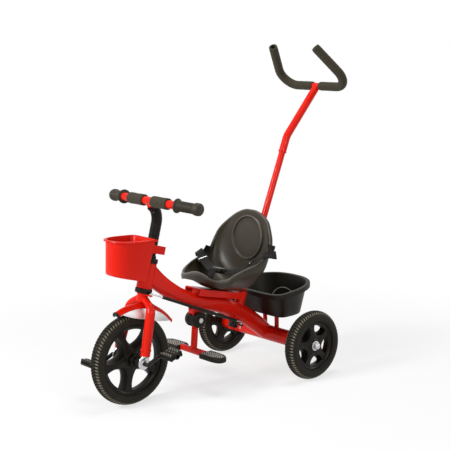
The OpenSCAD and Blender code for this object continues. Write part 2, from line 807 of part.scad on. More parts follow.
// Harness
module left_lap_strap() color(black) seated() webbing(lap_route, strap_w, strap_t, [0, 0.8, 0.6]);
module right_lap_strap() color(black) seated() right() webbing(lap_route, strap_w, strap_t, [0, 0.8, 0.6]);
module crotch_strap() color(black) seated() webbing(crotch_route, strap_w, strap_t, [1, 0, 0]);
module buckle() color(black) seated() translate(buckle_at) {
    cube(buckle_size, center = true);
    translate([0, 0, buckle_size[2] / 2]) cylinder(d = button_d, h = button_h);
}

// Rear basket on two struts from the axle tube
module rear_basket() color(black) trike() tub(
    [rear_basket_floor_w / 2, rear_basket_floor_from, rear_basket_floor_from + rear_basket_floor_depth,
     rear_basket_floor_from + rear_floor_split, rear_basket_z, 0],
    [rear_basket_w / 2, rear_basket_from, rear_basket_from + rear_basket_depth,
     rear_basket_from + rear_basket_split, rear_basket_z + rear_basket_h, rear_basket_tilt],
    rear_basket_powers, rear_basket_wall, rear_basket_wall, rear_lip_w, rear_lip_h, rear_basket_wall);
module basket_struts() color(red) trike() both() difference() {
    union() {
        translate([strut_x, wheelbase + strut_back, rear_r])
            cylinder(d = strut_d, h = rear_basket_z - rear_r - seat_gap);
        translate([strut_x - strut_foot[0] / 2, wheelbase + strut_back - strut_foot[1] / 2,
                   rear_basket_z - seat_gap - strut_foot[2]]) cube(strut_foot);
    }
    translate([0, rear_axle_at[0], rear_axle_at[1]])
        x_rod(axle_tube_d + 2 * seat_gap, -axle_tube_half, axle_tube_half);
}

// Footrest hinge under the beam
module at_hinge() trike() translate([0, hinge_at[0], hinge_at[1]]) children();
module footrest_bracket() color(red) difference() {
    at_hinge() difference() {
        union() {
            both() translate([eye_w / 2 + pass_gap, 0, 0]) {
                rotate([0, 90, 0]) cylinder(d = eye_d, h = cheek_t);
                translate([0, -eye_d / 2, 0]) cube([cheek_t, eye_d, hinge_below]);
            }
            translate([-eye_w / 2 - over, -eye_d / 2, hinge_below - beam_depth_mid / 2 - bridge_below])
                cube([eye_w + 2 * over, eye_d, bridge_t]);
        }
        x_rod(hinge_bolt_d + 2 * seat_gap, -eye_w, eye_w);
        x_rod(eye_d + 2 * over, -eye_w / 2 - pass_gap, eye_w / 2 + pass_gap);
    }
    trike() beam_solid(seat_gap);
}
module hinge_covers() color(black) at_hinge() both()
    x_tube(hinge_d, hinge_bolt_d + 2 * seat_gap, cover_from, cover_from + cover_t);
module hinge_bolt() color(silver) at_hinge() {
    x_rod(hinge_bolt_d, -cover_from - cover_t - over, cover_from + cover_t + over);
    both() x_rod(hinge_head_d, cover_from + cover_t + seat_gap, cover_from + cover_t + hinge_head_h);
}

// Fork: steerer, neck, two arms, two legs and the steering tab, welded together
module leg_frame() translate([leg_end_x, 0, leg_end_up]) rotate([0, leg_angle, 0]) children();
module at_dropout_bolt() translate([0, 0, dropout_bolt_up]) rotate([90, 0, 0]) children();
module dropout_bolt_hole() at_dropout_bolt()
    cylinder(d = dropout_bolt_d + 2 * seat_gap, h = 2 * leg_d, center = true);
module fork() color(red) steered() difference() {
    union() {
        translate([0, 0, neck_s]) cylinder(d = neck_d, h = neck_h);
        translate([0, 0, neck_s]) cylinder(d = steerer_d, h = stem_s - neck_s - seat_gap);
        both() {
            translate([arm_top_x, 0, arm_top_s]) rotate([0, arm_angle, 0])
                cylinder(d = arm_d, h = arm_len);
            translate([leg_top_x, 0, leg_top_s]) ball(leg_d);
            leg_frame() cylinder(d = leg_d, h = leg_len);
        }
        translate([0, -tab_w / 2, tab_s]) cube([lever_r, tab_w, tab_t]);
        translate([lever_r, 0, tab_s]) cylinder(d = tab_w, h = tab_t);
    }
    translate([0, 0, neck_s + neck_h / 2]) cylinder(d = steerer_bore, h = stem_s);
    translate([lever_r, 0, tab_s - over]) cylinder(d = wire_d + 2 * rod_play, h = tab_t + 2 * over);
    both() leg_frame() {
        translate([0, 0, -over]) cylinder(d = leg_id, h = leg_len - leg_d / 2);
        dropout_bolt_hole();
    }
}
// Dropout: a plug in the leg and a plate round the crank axle
module dropout() difference() {
    union() {
        leg_frame() cylinder(d = leg_id - 2 * seat_gap, h = plug_len);
        translate([leg_end_x, 0, 0]) {
            x_rod(dropout_d, -dropout_t / 2, dropout_t / 2);
            translate([-dropout_t / 2, -dropout_web / 2, 0])
                cube([dropout_t, dropout_web, leg_end_up + web_in]);
        }
    }
    x_rod(axle_d + 2 * run_gap, 0, leg_end_x + dropout_t);
    leg_frame() dropout_bolt_hole();
}
module left_dropout() color(silver) steered() dropout();
module right_dropout() color(silver) steered() right() dropout();
module dropout_bolts() color(silver) steered() both() leg_frame() at_dropout_bolt() {
    cylinder(d = dropout_bolt_d, h = leg_d + 2 * dropout_head_h, center = true);
    for (side = [-1, 1]) translate([0, 0, side * (leg_d / 2 + dropout_head_h / 2 + seat_gap)])
        cylinder(d = dropout_head_d, h = dropout_head_h, center = true);
}

// Mudguard: an arch with a crowned section that narrows to both tips, and two skirts under its edges
function guard_drop(x) = guard_crown * pow(2 * x / guard_w, 2);
function guard_narrowed(a) = 1 - guard_taper * pow(a / guard_half_angle, 2);
function guard_point(a, x, r) = [x * guard_narrowed(a), guard_shift + r * sin(a), r * cos(a)];
function guard_row(a, depth) = [for (j = [-guard_cols:guard_cols]) let (x = j * guard_w / (2 * guard_cols))
    guard_point(a, x, guard_r - depth - guard_drop(x))];
function guard_under(a) = let (row = guard_row(a, guard_t)) [for (j = [2 * guard_cols:-1:0]) row[j]];
module mudguard() color(red) steered() sheet_loft([
    for (k = [-guard_steps:guard_steps]) let (a = k * guard_half_angle / guard_steps)
        concat(guard_row(a, 0), guard_under(a))]);
// Skirt's section at an angle along the arch, deepest in the middle
function skirt_ring(k) = let (
    a = k * skirt_share * guard_half_angle / guard_steps,
    top = guard_r - guard_t - guard_drop(skirt_x) - seat_gap,
    low = top - skirt_edge - skirt_depth * pow(1 - pow(k / guard_steps, 2), skirt_power))
    [guard_point(a, skirt_x, low), guard_point(a, skirt_x - skirt_t, low),
     guard_point(a, skirt_x - skirt_t, top), guard_point(a, skirt_x, top)];
module mudguard_skirts() color(silver) steered() both()
    loft([for (k = [-guard_steps:guard_steps]) skirt_ring(k)]);

// Stem: a tube that bends forward, with a quill inside the steerer
module gooseneck(d, from, tail) {
    translate([0, 0, from]) cylinder(d = d, h = stem_bend_s - from + over);
    translate([0, 0, stem_bend_s]) mirror([0, 1, 0]) back_bend(d, stem_bend_r, stem_bend);
    translate([0, stem_end[0], stem_end[1]]) rotate([stem_bend, 0, 0]) translate([0, 0, -stem_tail - over])
        cylinder(d = d, h = stem_tail + over + tail);
}
module stem() color(black) steered() {
    difference() {
        gooseneck(stem_d, stem_s, 0);
        gooseneck(stem_id, stem_s + stem_wall, over);
    }
    translate([0, 0, stem_s - quill_len]) cylinder(d = steerer_bore - 2 * seat_gap, h = quill_len + over);
}

// Handlebar with the stub that drops into the stem
module bar_end() translate([bar_straight, bar_bend_r, 0]) rotate([0, 0, bar_sweep])
    translate([0, -bar_bend_r, 0]) children();
module bar_side(d, from, tail) {
    x_rod(d, from, bar_straight + over);
    translate([bar_straight, bar_bend_r, 0]) rotate([0, 0, -90]) bend(d, bar_bend_r, bar_sweep);
    bar_end() x_rod(d, -over, tail);
}
module at_bar() steered() translate([0, bar_at[0], bar_at[1]]) children();
module handlebar() color(red) at_bar() difference() {
    union() {
        both() bar_side(bar_d, 0, grip_from + grip_len - grip_end_t);
        rotate([stem_bend, 0, 0]) translate([0, 0, -bar_d / 2 - stub_len - stub_in])
            cylinder(d = stem_id - 2 * seat_gap, h = bar_d / 2 + stub_len + stub_in);
    }
    both() bar_side(bar_d - 2 * bar_wall, -over, grip_from + grip_len);
}
module bar_foam() color(grey) at_bar() both()
    x_tube(sleeve_d, bar_d + 2 * seat_gap, sleeve_from, sleeve_from + sleeve_len);
// Grip turned about the bar: flange, waist, bulb and closed end
module grip() bar_end() translate([grip_from, 0, 0]) rotate([0, 90, 0]) difference() {
    rotate_extrude() polygon([
        [0, 0], [grip_flange_d / 2, 0], [grip_flange_d / 2, grip_flange_t],
        [grip_d / 2, grip_flange_t + grip_neck], [grip_d / 2, grip_len - grip_bulb_len],
        [grip_bulb_d / 2, grip_len - grip_bulb_len + grip_ramp], [grip_bulb_d / 2, grip_len - grip_round],
        [grip_bulb_d / 2 - grip_round, grip_len], [0, grip_len]
    ]);
    translate([0, 0, -over])
        cylinder(d = bar_d + 2 * seat_gap, h = grip_len - grip_end_t + seat_gap + over);
}
module left_grip() color(black) at_bar() grip();
module right_grip() color(black) at_bar() right() grip();

// Front basket, its clip round the stem, and their screws
module clip_screw_places() both() translate([clip_screw_x, front_basket_back, clip_s + clip_h / 2])
    rotate([90, 0, 0]) children();
module front_basket() color(red) steered() difference() {
    tub([front_basket_floor_w / 2, front_basket_back - front_basket_floor_depth, front_basket_back,
         front_basket_back - front_basket_split, front_basket_floor_s, 0],
        [front_basket_w / 2, front_basket_back - front_basket_depth, front_basket_back,
         front_basket_back - front_basket_split, front_basket_floor_s + front_basket_h, front_basket_tilt],
        front_basket_powers, front_basket_wall, front_basket_floor_t, front_lip_w, front_lip_h, front_lip_t);
    clip_screw_places() cylinder(d = clip_screw_d + 2 * seat_gap, h = 2 * clip_screw_in, center = true);
}
module basket_clip() color(red) steered() difference() {
    translate([-clip_w / 2, front_basket_back + seat_gap, clip_s])
        cube([clip_w, clip_back - front_basket_back, clip_h]);
    translate([0, 0, clip_s - over]) cylinder(d = stem_d + 2 * seat_gap, h = clip_h + 2 * over);
    clip_screw_places() translate([0, 0, -clip_screw_in - over])
        cylinder(d = clip_screw_d + 2 * seat_gap, h = clip_screw_in + over);
}
module clip_screws() color(silver) steered() clip_screw_places() {
    translate([0, 0, -clip_screw_in + over])
        cylinder(d = clip_screw_d, h = clip_screw_in + front_basket_wall + clip_head_h);
    translate([0, 0, front_basket_wall + clip_head_out]) cylinder(d = clip_head_d, h = clip_head_h);
}

// Wheels: local z points out from the trike
module tyre(d) rotate_extrude() difference() {
    translate([d / 2 - tyre_w / 2, 0]) circle(d = tyre_w);
    translate([-over, -tyre_w]) square([d / 2 - tyre_h + over, 2 * tyre_w]);
}
// Spokes that flare into the rim and into each other round the hub, as one outline
function spoke_half(t) = spoke_w / 2 * (1 + spoke_flare * pow(2 * t - 1, 2));
spoke_root = spoke_half(0) / tan(180 / spoke_count);
function spoke_point(t, to, side, turn) = let (x = lerp(spoke_root, to, t), y = side * spoke_half(t))
    [x * cos(turn) - y * sin(turn), x * sin(turn) + y * cos(turn)];
module spokes(to) polygon([for (s = [0:spoke_count - 1]) let (turn = 360 * s / spoke_count) each concat(
    [for (k = [0:spoke_points]) spoke_point(k / spoke_points, to, -1, turn)],
    [for (k = [spoke_points:-1:1]) spoke_point(k / spoke_points, to, 1, turn)])]);
module spoked_wheel(d, hub_in, hub_out, bore) {
    rim_r = d / 2 - tyre_h - seat_gap;
    difference() {
        union() {
            rotate_extrude() translate([rim_r - rim_t, -rim_w / 2]) square([rim_t, rim_w]);
            translate([0, 0, -spoke_back]) linear_extrude(spoke_t) spokes(rim_r - spoke_in * rim_t);
            translate([0, 0, -hub_in]) cylinder(d = hub_d, h = hub_in + hub_out);
        }
        translate([0, 0, -hub_in - over]) cylinder(d = bore, h = hub_in + hub_out + 2 * over);
    }
}
module at_front_axle() trike() translate([0, 0, front_r]) children();
module front_tyre() color(black) at_front_axle() rotate([0, 90, 0]) tyre(front_wheel_d);
module front_wheel() color(black) at_front_axle() rotate([0, 90, 0]) rotate([0, 0, front_wheel_turn])
    spoked_wheel(front_wheel_d, front_hub_half, front_hub_half, axle_d + 2 * seat_gap);
module at_left_wheel() at_rear_axle() translate([rear_track / 2, 0, 0]) rotate([0, 90, 0])
    rotate([0, 0, rear_wheel_turn]) children();
module rear_wheel() spoked_wheel(rear_wheel_d, rear_hub_in, rear_hub_out, axle_d + 2 * run_gap);
module left_rear_tyre() color(black) at_left_wheel() tyre(rear_wheel_d);
module left_rear_wheel() color(black) at_left_wheel() rear_wheel();
module right_rear_tyre() color(black) right() at_left_wheel() tyre(rear_wheel_d);
module right_rear_wheel() color(black) right() at_left_wheel() rear_wheel();

// Crank axle: one bent rod through the front hub, with a spindle for each pedal
module half_crank() {
    x_rod(axle_d, 0, leg_end_x + dropout_t);
    x_rod(crank_d, 0, crank_x);
    translate([crank_x, 0, 0]) rotate([crank_angle - 90, 0, 0]) {
        ball(crank_d);
        cylinder(d = crank_d, h = crank_len);
        translate([0, 0, crank_len]) ball(crank_d);
        translate([0, 0, crank_len]) x_rod(crank_d, 0, spindle_end - crank_x);
    }
}
// The right half is the left half turned half a turn about the axle and mirrored
module right_half() right() rotate([180, 0, 0]) children();
module crank_axle() color(silver) at_front_axle() {
    half_crank();
    right_half() half_crank();
}
module hub_spacers() color(black) at_front_axle() both()
    x_tube(spacer_d, axle_d + 2 * seat_gap, front_hub_half + seat_gap, leg_end_x - dropout_t / 2 - pass_gap);
module at_pedal() rotate([crank_angle - 90, 0, 0]) translate([0, 0, crank_len])
    rotate([90 - crank_angle, 0, 0]) children();
module pedal_cap() at_pedal() x_tube(cap_d, crank_d + 2 * seat_gap, pedal_from + pedal_w + pass_gap,
                                     pedal_from + pedal_w + pass_gap + cap_h);
module pedal_caps() color(black) at_front_axle() {
    pedal_cap();
    right_half() pedal_cap();
}
// Pedal: a block with grooves across both faces and a through bore
module pedal(tilt) at_pedal() difference() {
    rotate([tilt, 0, 0]) difference() {
        translate([pedal_from, -pedal_depth / 2, -pedal_h / 2]) cube([pedal_w, pedal_depth, pedal_h]);
        for (k = [0:pedal_grooves - 1]) for (side = [-1, 1])
            translate([pedal_from + (2 * k + 1) * groove_w, -pedal_depth, side * pedal_h / 2 - pedal_groove])
                cube([groove_w, 2 * pedal_depth, 2 * pedal_groove]);
    }
    x_rod(crank_d + 2 * run_gap, crank_x, spindle_end);
}
module left_pedal() color(black) at_front_axle() pedal(pedal_tilt);
module right_pedal() color(black) at_front_axle() right_half() pedal(-pedal_tilt);

// Push handle
module handle_lower_tube() color(red) poled()
    z_tube(handle_d, handle_d - 2 * tube_wall, handle_foot, handle_len - bend_cut);
module upper_path(d, below, above) {
    translate([0, 0, handle_len - bend_cut - upper_lap - below])
        cylinder(d = d, h = upper_lap + below + over);
    translate([0, 0, handle_len - bend_cut]) back_bend(d, handle_bend_r, handle_bend);
    translate([0, 0, handle_len]) rotate([-handle_bend, 0, 0]) translate([0, 0, bend_cut - over])
        cylinder(d = d, h = upper_len - bend_cut + over + above);
}
module handle_upper_tube() color(red) difference() {
    poled() difference() {
        upper_path(upper_d, 0, 0);
        upper_path(handle_d + 2 * seat_gap, over, over);
    }
    barred() x_rod(handle_d + 2 * seat_gap, -push_mid_half, push_mid_half);
}
// Left half of the push bar's path
module push_half(d, from, arm) {
    x_rod(d, from, push_mid_half + over);
    translate([push_mid_half, 0, push_bend_r]) {
        rotate([90, 0, 0]) rotate([0, 0, -90]) bend(d, push_bend_r, push_bend);
        rotate([0, -push_bend, 0]) translate([0, 0, -push_bend_r]) x_rod(d, -over, arm);
    }
}
module push_bar() color(red) barred() difference() {
    both() push_half(handle_d, 0, push_arm);
    both() push_half(handle_d - 2 * tube_wall, -over, push_arm + over);
}
module push_grip() difference() {
    push_half(push_foam_d, push_bare, push_arm);
    push_half(handle_d + 2 * seat_gap, 0, push_arm + over);
}
module left_push_grip() color(grey) barred() push_grip();
module right_push_grip() color(grey) barred() right() push_grip();
module handle_lever() color(silver) poled() difference() {
    union() {
        translate([0, 0, lever_top - lever_collar_h]) cylinder(d = lever_collar_d, h = lever_collar_h);
        translate([0, -lever_w / 2, lever_top - lever_t]) cube([lever_r, lever_w, lever_t]);
        translate([lever_r, 0, lever_top - lever_t]) cylinder(d = lever_w, h = lever_t);
    }
    translate([0, 0, lever_top - lever_collar_h - over])
        cylinder(d = handle_d + 2 * seat_gap, h = lever_collar_h + 2 * over);
    translate([lever_r, 0, lever_top - lever_t - over])
        cylinder(d = wire_d + 2 * rod_play, h = lever_t + 2 * over);
}

// Steering rod: a wire with a hook down through each lever, and a sleeve on it
module at_rod() trike() translate([lever_r, rod_front[0], rod_front[1]]) children();
module hook(lean, drop) {
    ball(wire_d);
    rotate([-lean, 0, 0]) translate([0, 0, -drop]) cylinder(d = wire_d, h = drop);
}
module rod_wire() color(silver) at_rod() {
    rotate([rod_turn, 0, 0]) cylinder(d = wire_d, h = rod_len);
    hook(head_lean, wire_up_front + tab_t + pin_below_front);
    rotate([rod_turn, 0, 0]) translate([0, 0, rod_len]) rotate([-rod_turn, 0, 0])
        hook(handle_lean, wire_up_rear + lever_t + pin_below_rear);
}
module rod_sleeve() color(black) at_rod() rotate([rod_turn, 0, 0])
    z_tube(rod_sleeve_d, wire_d + 2 * seat_gap, rod_sleeve_from, rod_len - rod_sleeve_to);

// Footrest: an eye on the hinge bolt, a post, a cross tube and a pad on each end
module at_foot() trike() translate([0, foot_at[0], foot_at[1]]) children();
module footrest_post() color(red) difference() {
    union() {
        at_hinge() {
            x_rod(post_eye_d, -eye_w / 2, eye_w / 2);
            rotate([-post_lean, 0, 0]) translate([0, 0, -post_len]) {
                cylinder(d = eye_w - over, h = post_len);
                cylinder(d = post_d, h = post_len - eye_d / 2 - post_short);
            }
        }
        at_foot() {
            x_rod(post_d, -cross_half, cross_half);
            x_rod(pad_spindle_d, -pad_spindle_half, pad_spindle_half);
        }
    }
    at_hinge() x_rod(hinge_bolt_d + 2 * run_gap, -eye_w, eye_w);
}
// Foot pad with a rounded outer end, and ribs across its top
function pad_reach(x) = let (into = max(0, x / pad_w - 1 + pad_round) / pad_round)
    pad_depth / 2 * pow(1 - pow(into, pad_power), 1 / pad_power);
module pad_outline() polygon(concat(
    [for (k = [0:pad_points]) let (x = pad_edge(k)) [x, -pad_reach(x)]],
    [for (k = [pad_points - 1:-1:0]) let (x = pad_edge(k)) [x, pad_reach(x)]]));
// Places along the pad, closer together towards its round end
function pad_edge(k) = pad_w * sin(90 * k / pad_points);
module foot_pad() difference() {
    translate([cross_half + seat_gap, 0, -pad_h / 2]) {
        linear_extrude(pad_h - pad_rib_h) pad_outline();
        for (k = [0:pad_ribs - 1]) let (x = (2 * k + 1) * pad_rib_w, half = pad_reach(x + pad_rib_w))
            translate([x, -half, 0]) cube([pad_rib_w, 2 * half, pad_h]);
    }
    x_rod(pad_spindle_d + 2 * seat_gap, 0, pad_spindle_half + seat_gap);
}
module left_foot_pad() color(black) at_foot() foot_pad();
module right_foot_pad() color(black) at_foot() right() foot_pad();

main_beam();
head_tube();
lower_head_cup();
upper_head_cup();
rear_axle_tube();
axle_end_plugs();
rear_axle();
axle_nuts();
handle_socket();
socket_bushes();
seat_plate();
seat_bolts();
seat_shell();
seat_back_panel();
left_lap_strap();
right_lap_strap();
crotch_strap();
buckle();
rear_basket();
basket_struts();
footrest_bracket();
hinge_covers();
hinge_bolt();
fork();
left_dropout();
right_dropout();
dropout_bolts();
mudguard();
mudguard_skirts();
stem();
handlebar();
bar_foam();
left_grip();
right_grip();
front_basket();
basket_clip();
clip_screws();
front_tyre();
front_wheel();
crank_axle();
hub_spacers();
pedal_caps();
left_pedal();
right_pedal();
left_rear_tyre();
left_rear_wheel();
right_rear_tyre();
right_rear_wheel();
handle_lower_tube();
handle_upper_tube();
push_bar();
left_push_grip();
right_push_grip();
handle_lever();
rod_wire();
rod_sleeve();
footrest_post();
left_foot_pad();
right_foot_pad();
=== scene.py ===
"""A toddler trike whose push handle steers the front wheel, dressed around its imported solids.

Shapes are drawn in millimetres in the frames of the part's own source: forward is -Y, the rider's
left is +X and up is +Z. They become metres when a piece is made.
"""
import math

import bmesh
import bpy
from mathutils import Matrix, Vector


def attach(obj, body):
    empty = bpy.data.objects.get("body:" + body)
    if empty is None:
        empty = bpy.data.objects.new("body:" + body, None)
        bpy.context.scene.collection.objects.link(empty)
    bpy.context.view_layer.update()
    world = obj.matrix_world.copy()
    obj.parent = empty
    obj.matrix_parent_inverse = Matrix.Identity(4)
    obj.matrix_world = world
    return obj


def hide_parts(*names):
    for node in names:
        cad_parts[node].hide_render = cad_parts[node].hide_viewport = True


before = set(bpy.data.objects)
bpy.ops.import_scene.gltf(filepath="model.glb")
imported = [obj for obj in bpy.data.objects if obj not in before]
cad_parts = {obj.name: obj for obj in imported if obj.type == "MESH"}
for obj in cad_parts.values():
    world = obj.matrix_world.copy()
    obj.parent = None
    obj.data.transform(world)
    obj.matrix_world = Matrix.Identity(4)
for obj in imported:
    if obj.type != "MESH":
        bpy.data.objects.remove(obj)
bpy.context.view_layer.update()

MM = 0.001


# Frames
def moved(x, y, z):
    return Matrix.Translation((x, y, z))


def turned(angle, axis):
    return Matrix.Rotation(math.radians(angle), 4, axis)


# Turns a shape's own z to point along x, or along y
ALONG_X = turned(90, "Y")
ALONG_Y = turned(-90, "X")
MIRROR = Matrix.Diagonal((-1, 1, 1, 1))
SIDES = (("left", Matrix()), ("right", MIRROR))
ORIGIN = Vector((0, 0, 0))
UP = Vector((0, 0, 1))

# Distance from the front axle back to the middle of the trike's length
MIDDLE_Y = 304.35
FRONT_R = 125
REAR_R = 99
WHEELBASE = 497
HEAD_LEAN = 16
HANDLE_LEAN = 23.2
BEAM_DROP = 14
POST_LEAN = 6
PUSH_TILT = 62
# Places back and up, in the trike's frame
PIVOT = (383.218, 185.035)
BEAM_MID = (278, 227)
HINGE = (227.807, 191.076)
# Places back and up, in the frames of the fork and of the push handle
BAR_AT = (-37.477, 427.067)
PUSH_AT = (62.137, 710.435)

TRIKE = moved(0, -MIDDLE_Y, 0)
FRONT_AXLE = TRIKE @ moved(0, 0, FRONT_R)
REAR_AXLE = TRIKE @ moved(0, WHEELBASE, REAR_R)
STEERED = FRONT_AXLE @ turned(-HEAD_LEAN, "X")
POLED = TRIKE @ moved(0, *PIVOT) @ turned(-HANDLE_LEAN, "X")
SEATED = TRIKE @ moved(0, *BEAM_MID) @ turned(-BEAM_DROP, "X")
HANDLEBAR = STEERED @ moved(0, *BAR_AT)
PUSH_BAR = POLED @ moved(0, *PUSH_AT) @ turned(PUSH_TILT, "X")
AT_HINGE = TRIKE @ moved(0, *HINGE)


# Numbers and curves
def lerp(a, b, t):
    return a + (b - a) * t


def smooth(t):
    t = min(max(t, 0), 1)
    return t * t * (3 - 2 * t)


def spow(c, power):
    """A power that keeps the sign, for rounded rectangles."""
    return math.copysign(abs(c) ** power, c)


def steps(count):
    """Shares from 0 to 1."""
    return [k / count for k in range(count + 1)]


def around(sides):
    """Angles of points spread evenly round a circle."""
    return [2 * math.pi * k / sides for k in range(sides)]


def heading(degrees):
    """Cosine and sine of an angle."""
    return math.cos(math.radians(degrees)), math.sin(math.radians(degrees))


def points_along(start, way, distances):
    return [start + way * distance for distance in distances]


def catmull(rows, u):
    """Smooth curve through rows of numbers, at row number u."""
    last = len(rows) - 1
    i = min(int(u), last - 1)
    t = u - i
    corners = rows[max(i - 1, 0)], rows[i], rows[i + 1], rows[min(i + 2, last)]
    return Vector(
        0.5 * (2 * b + (c - a) * t + (2 * a - 5 * b + 4 * c - d) * t * t + (3 * b - a - 3 * c + d) * t ** 3)
        for a, b, c, d in zip(*corners))


def bezier(p, t):
    s = 1 - t
    return s ** 3 * p[0] + 3 * t * s * s * p[1] + 3 * t * t * s * p[2] + t ** 3 * p[3]


def bent(corners, radius, count=12):
    """Path along straight runs whose corners are rounded to a radius."""
    corners = [Vector(corner) for corner in corners]
    path = [corners[0]]
    for before, corner, after in zip(corners, corners[1:], corners[2:]):
        u = (before - corner).normalized()
        v = (after - corner).normalized()
        half = (math.pi - u.angle(v)) / 2
        centre = corner + (u + v).normalized() * radius / math.cos(half)
        start = corner + u * radius * math.tan(half) - centre
        end = corner + v * radius * math.tan(half) - centre
        path.extend(centre + start.slerp(end, t) * radius / start.slerp(end, t).length for t in steps(count))
    return path + [corners[-1]]


def resampled(path, step):
    """The same path in equal short steps."""
    lengths = [(b - a).length for a, b in zip(path, path[1:])]
    count = max(2, round(sum(lengths) / step))
    points = []
    for t in steps(count):
        left = t * sum(lengths)
        i = 0
        while i < len(lengths) - 1 and left > lengths[i]:
            left -= lengths[i]
            i += 1
        points.append(path[i].lerp(path[i + 1], min(left / lengths[i], 1)))
    return points


# Shapes
class Shape:
    """Points, in millimetres, the faces between them, and how far each point is painted pale, mostly as a
    painted highlight.
    """

    def __init__(self):
        self.points = []
        self.faces = []
        self.glint_and_pale = []

    def skin(self, rows, along=False, ends=False):
        """Adds quads between rings of points, which may close on each other or be capped."""
        first = len(self.points)
        count = len(rows[0])
        for row in rows:
            self.points.extend(Vector(point) for point in row)
        self.glint_and_pale.extend([0.0] * (len(self.points) - first))
        for k in range(len(rows) if along else len(rows) - 1):
            low = first + k * count
            high = first + (k + 1) % len(rows) * count
            for i in range(count):
                j = (i + 1) % count
                self.faces.append((low + i, low + j, high + j, high + i))
        if ends:
            last = first + (len(rows) - 1) * count
            self.faces.append(tuple(range(first + count - 1, first - 1, -1)))
            self.faces.append(tuple(range(last, last + count)))
        return self

    def join(self, other, place=Matrix()):
        """Adds another shape at a place."""
        first = len(self.points)
        self.points.extend(place @ point for point in other.points)
        self.faces.extend(tuple(first + i for i in face) for face in other.faces)
        self.glint_and_pale.extend(other.glint_and_pale)
        return self

    def at(self, place):
        """A copy of the shape at a place."""
        return Shape().join(self, place)

    def paint_pale(self, share):
        """Marks the whole shape to be painted pale by a share, mostly as a painted highlight."""
        self.glint_and_pale = [share] * len(self.points)
        return self

    def both(self):
        """Adds the shape's own mirror image across the trike's middle."""
        return self.join(self.at(MIRROR))


def ring(radius, z, sides):
    return [(radius * math.cos(a), radius * math.sin(a), z) for a in around(sides)]


def lathe(profile, sides=64, closed=False):
    """Pairs of radius and height turned about z. A closed profile runs round the section of a ring."""
    return Shape().skin([ring(r, z, sides) for r, z in profile], along=closed, ends=not closed)


def rod(radius, low, high, edge=0.8, sides=48):
    """Solid rod along z with rounded ends."""
    return lathe([
        (radius - edge, low), (radius, low + edge), (radius, high - edge), (radius - edge, high)], sides)


def pipe(radius, bore, low, high, edge=0.5, sides=48):
    """Tube along z with a rounded outer edge at each end."""
    return lathe([
        (bore, low), (radius - edge, low), (radius, low + edge),
        (radius, high - edge), (radius - edge, high), (bore, high)], sides, closed=True)


def path_rings(path, radii, sides):
    """Rings across a path, turned as little as the path allows."""
    rings = []
    normal = None
    for k, point in enumerate(path):
        along = (path[min(k + 1, len(path) - 1)] - path[max(k - 1, 0)]).normalized()
        if normal is None:
            normal = along.orthogonal().normalized()
        normal = (normal - along * normal.dot(along)).normalized()
        side = along.cross(normal)
        rings.append([point + radii[k] * (normal * math.cos(a) + side * math.sin(a)) for a in around(sides)])
    return rings


def sweep(path, radius, sides=32, bore=0):
    """Round bar along a path, or a tube with a bore. The radius may be a list, one for each point."""
    radii = radius if isinstance(radius, list) else [radius] * len(path)
    rings = path_rings(path, radii, sides)
    if not bore:
        return Shape().skin(rings, ends=True)
    inner = path_rings(path, [bore] * len(path), sides)
    return Shape().skin(rings + inner[::-1], along=True)


def bead(path, radius, sides=10):
    """Closed round bead along a loop of points."""
    wrapped = [path[-1]] + path + [path[0]]
    rings = path_rings(wrapped, [radius] * len(wrapped), sides)[1:-1]
    return Shape().skin(rings, along=True)


def rounded_box(size, edge, segments=3):
    """Box round the origin with every edge rounded."""
    bm = bmesh.new()
    bmesh.ops.create_cube(bm, size=1)
    bmesh.ops.scale(bm, vec=size, verts=bm.verts)
    bmesh.ops.bevel(bm, geom=bm.edges[:], offset=edge, segments=segments, profile=0.5, affect="EDGES")
    shape = Shape()
    bm.verts.index_update()
    shape.points = [vert.co.copy() for vert in bm.verts]
    shape.faces = [tuple(vert.index for vert in face.verts) for face in bm.faces]
    bm.free()
    return shape.paint_pale(0.0)


def stacked(outline, reach, levels):
    """Solid through an outline of some reach. Each level is a height and a distance to draw it in."""
    return Shape().skin([[(x, y, z) for x, y in outline(reach, drawn)] for z, drawn in levels], ends=True)


def slab(outline, reach, low, high, edge):
    """Plate between two heights, rounded at both faces."""
    slight = 0.3 * edge
    return stacked(outline, reach, [
        (low, edge), (low + slight, slight), (low + edge, 0),
        (high - edge, 0), (high - slight, slight), (high, edge)])


# Finishes
class Value:
    """A socket of a finish's nodes. Sums on values add Math nodes."""

    def __init__(self, finish, socket):
        self.finish = finish
        self.socket = socket

    def maths(self, operation, *terms):
        return self.finish.add("Math", {"operation": operation}, dict(enumerate(terms)))

    def __add__(self, other):
        return self.maths("ADD", self, other)

    def __radd__(self, other):
        return self.maths("ADD", other, self)

    def __mul__(self, other):
        return self.maths("MULTIPLY", self, other)

    def __rmul__(self, other):
        return self.maths("MULTIPLY", other, self)


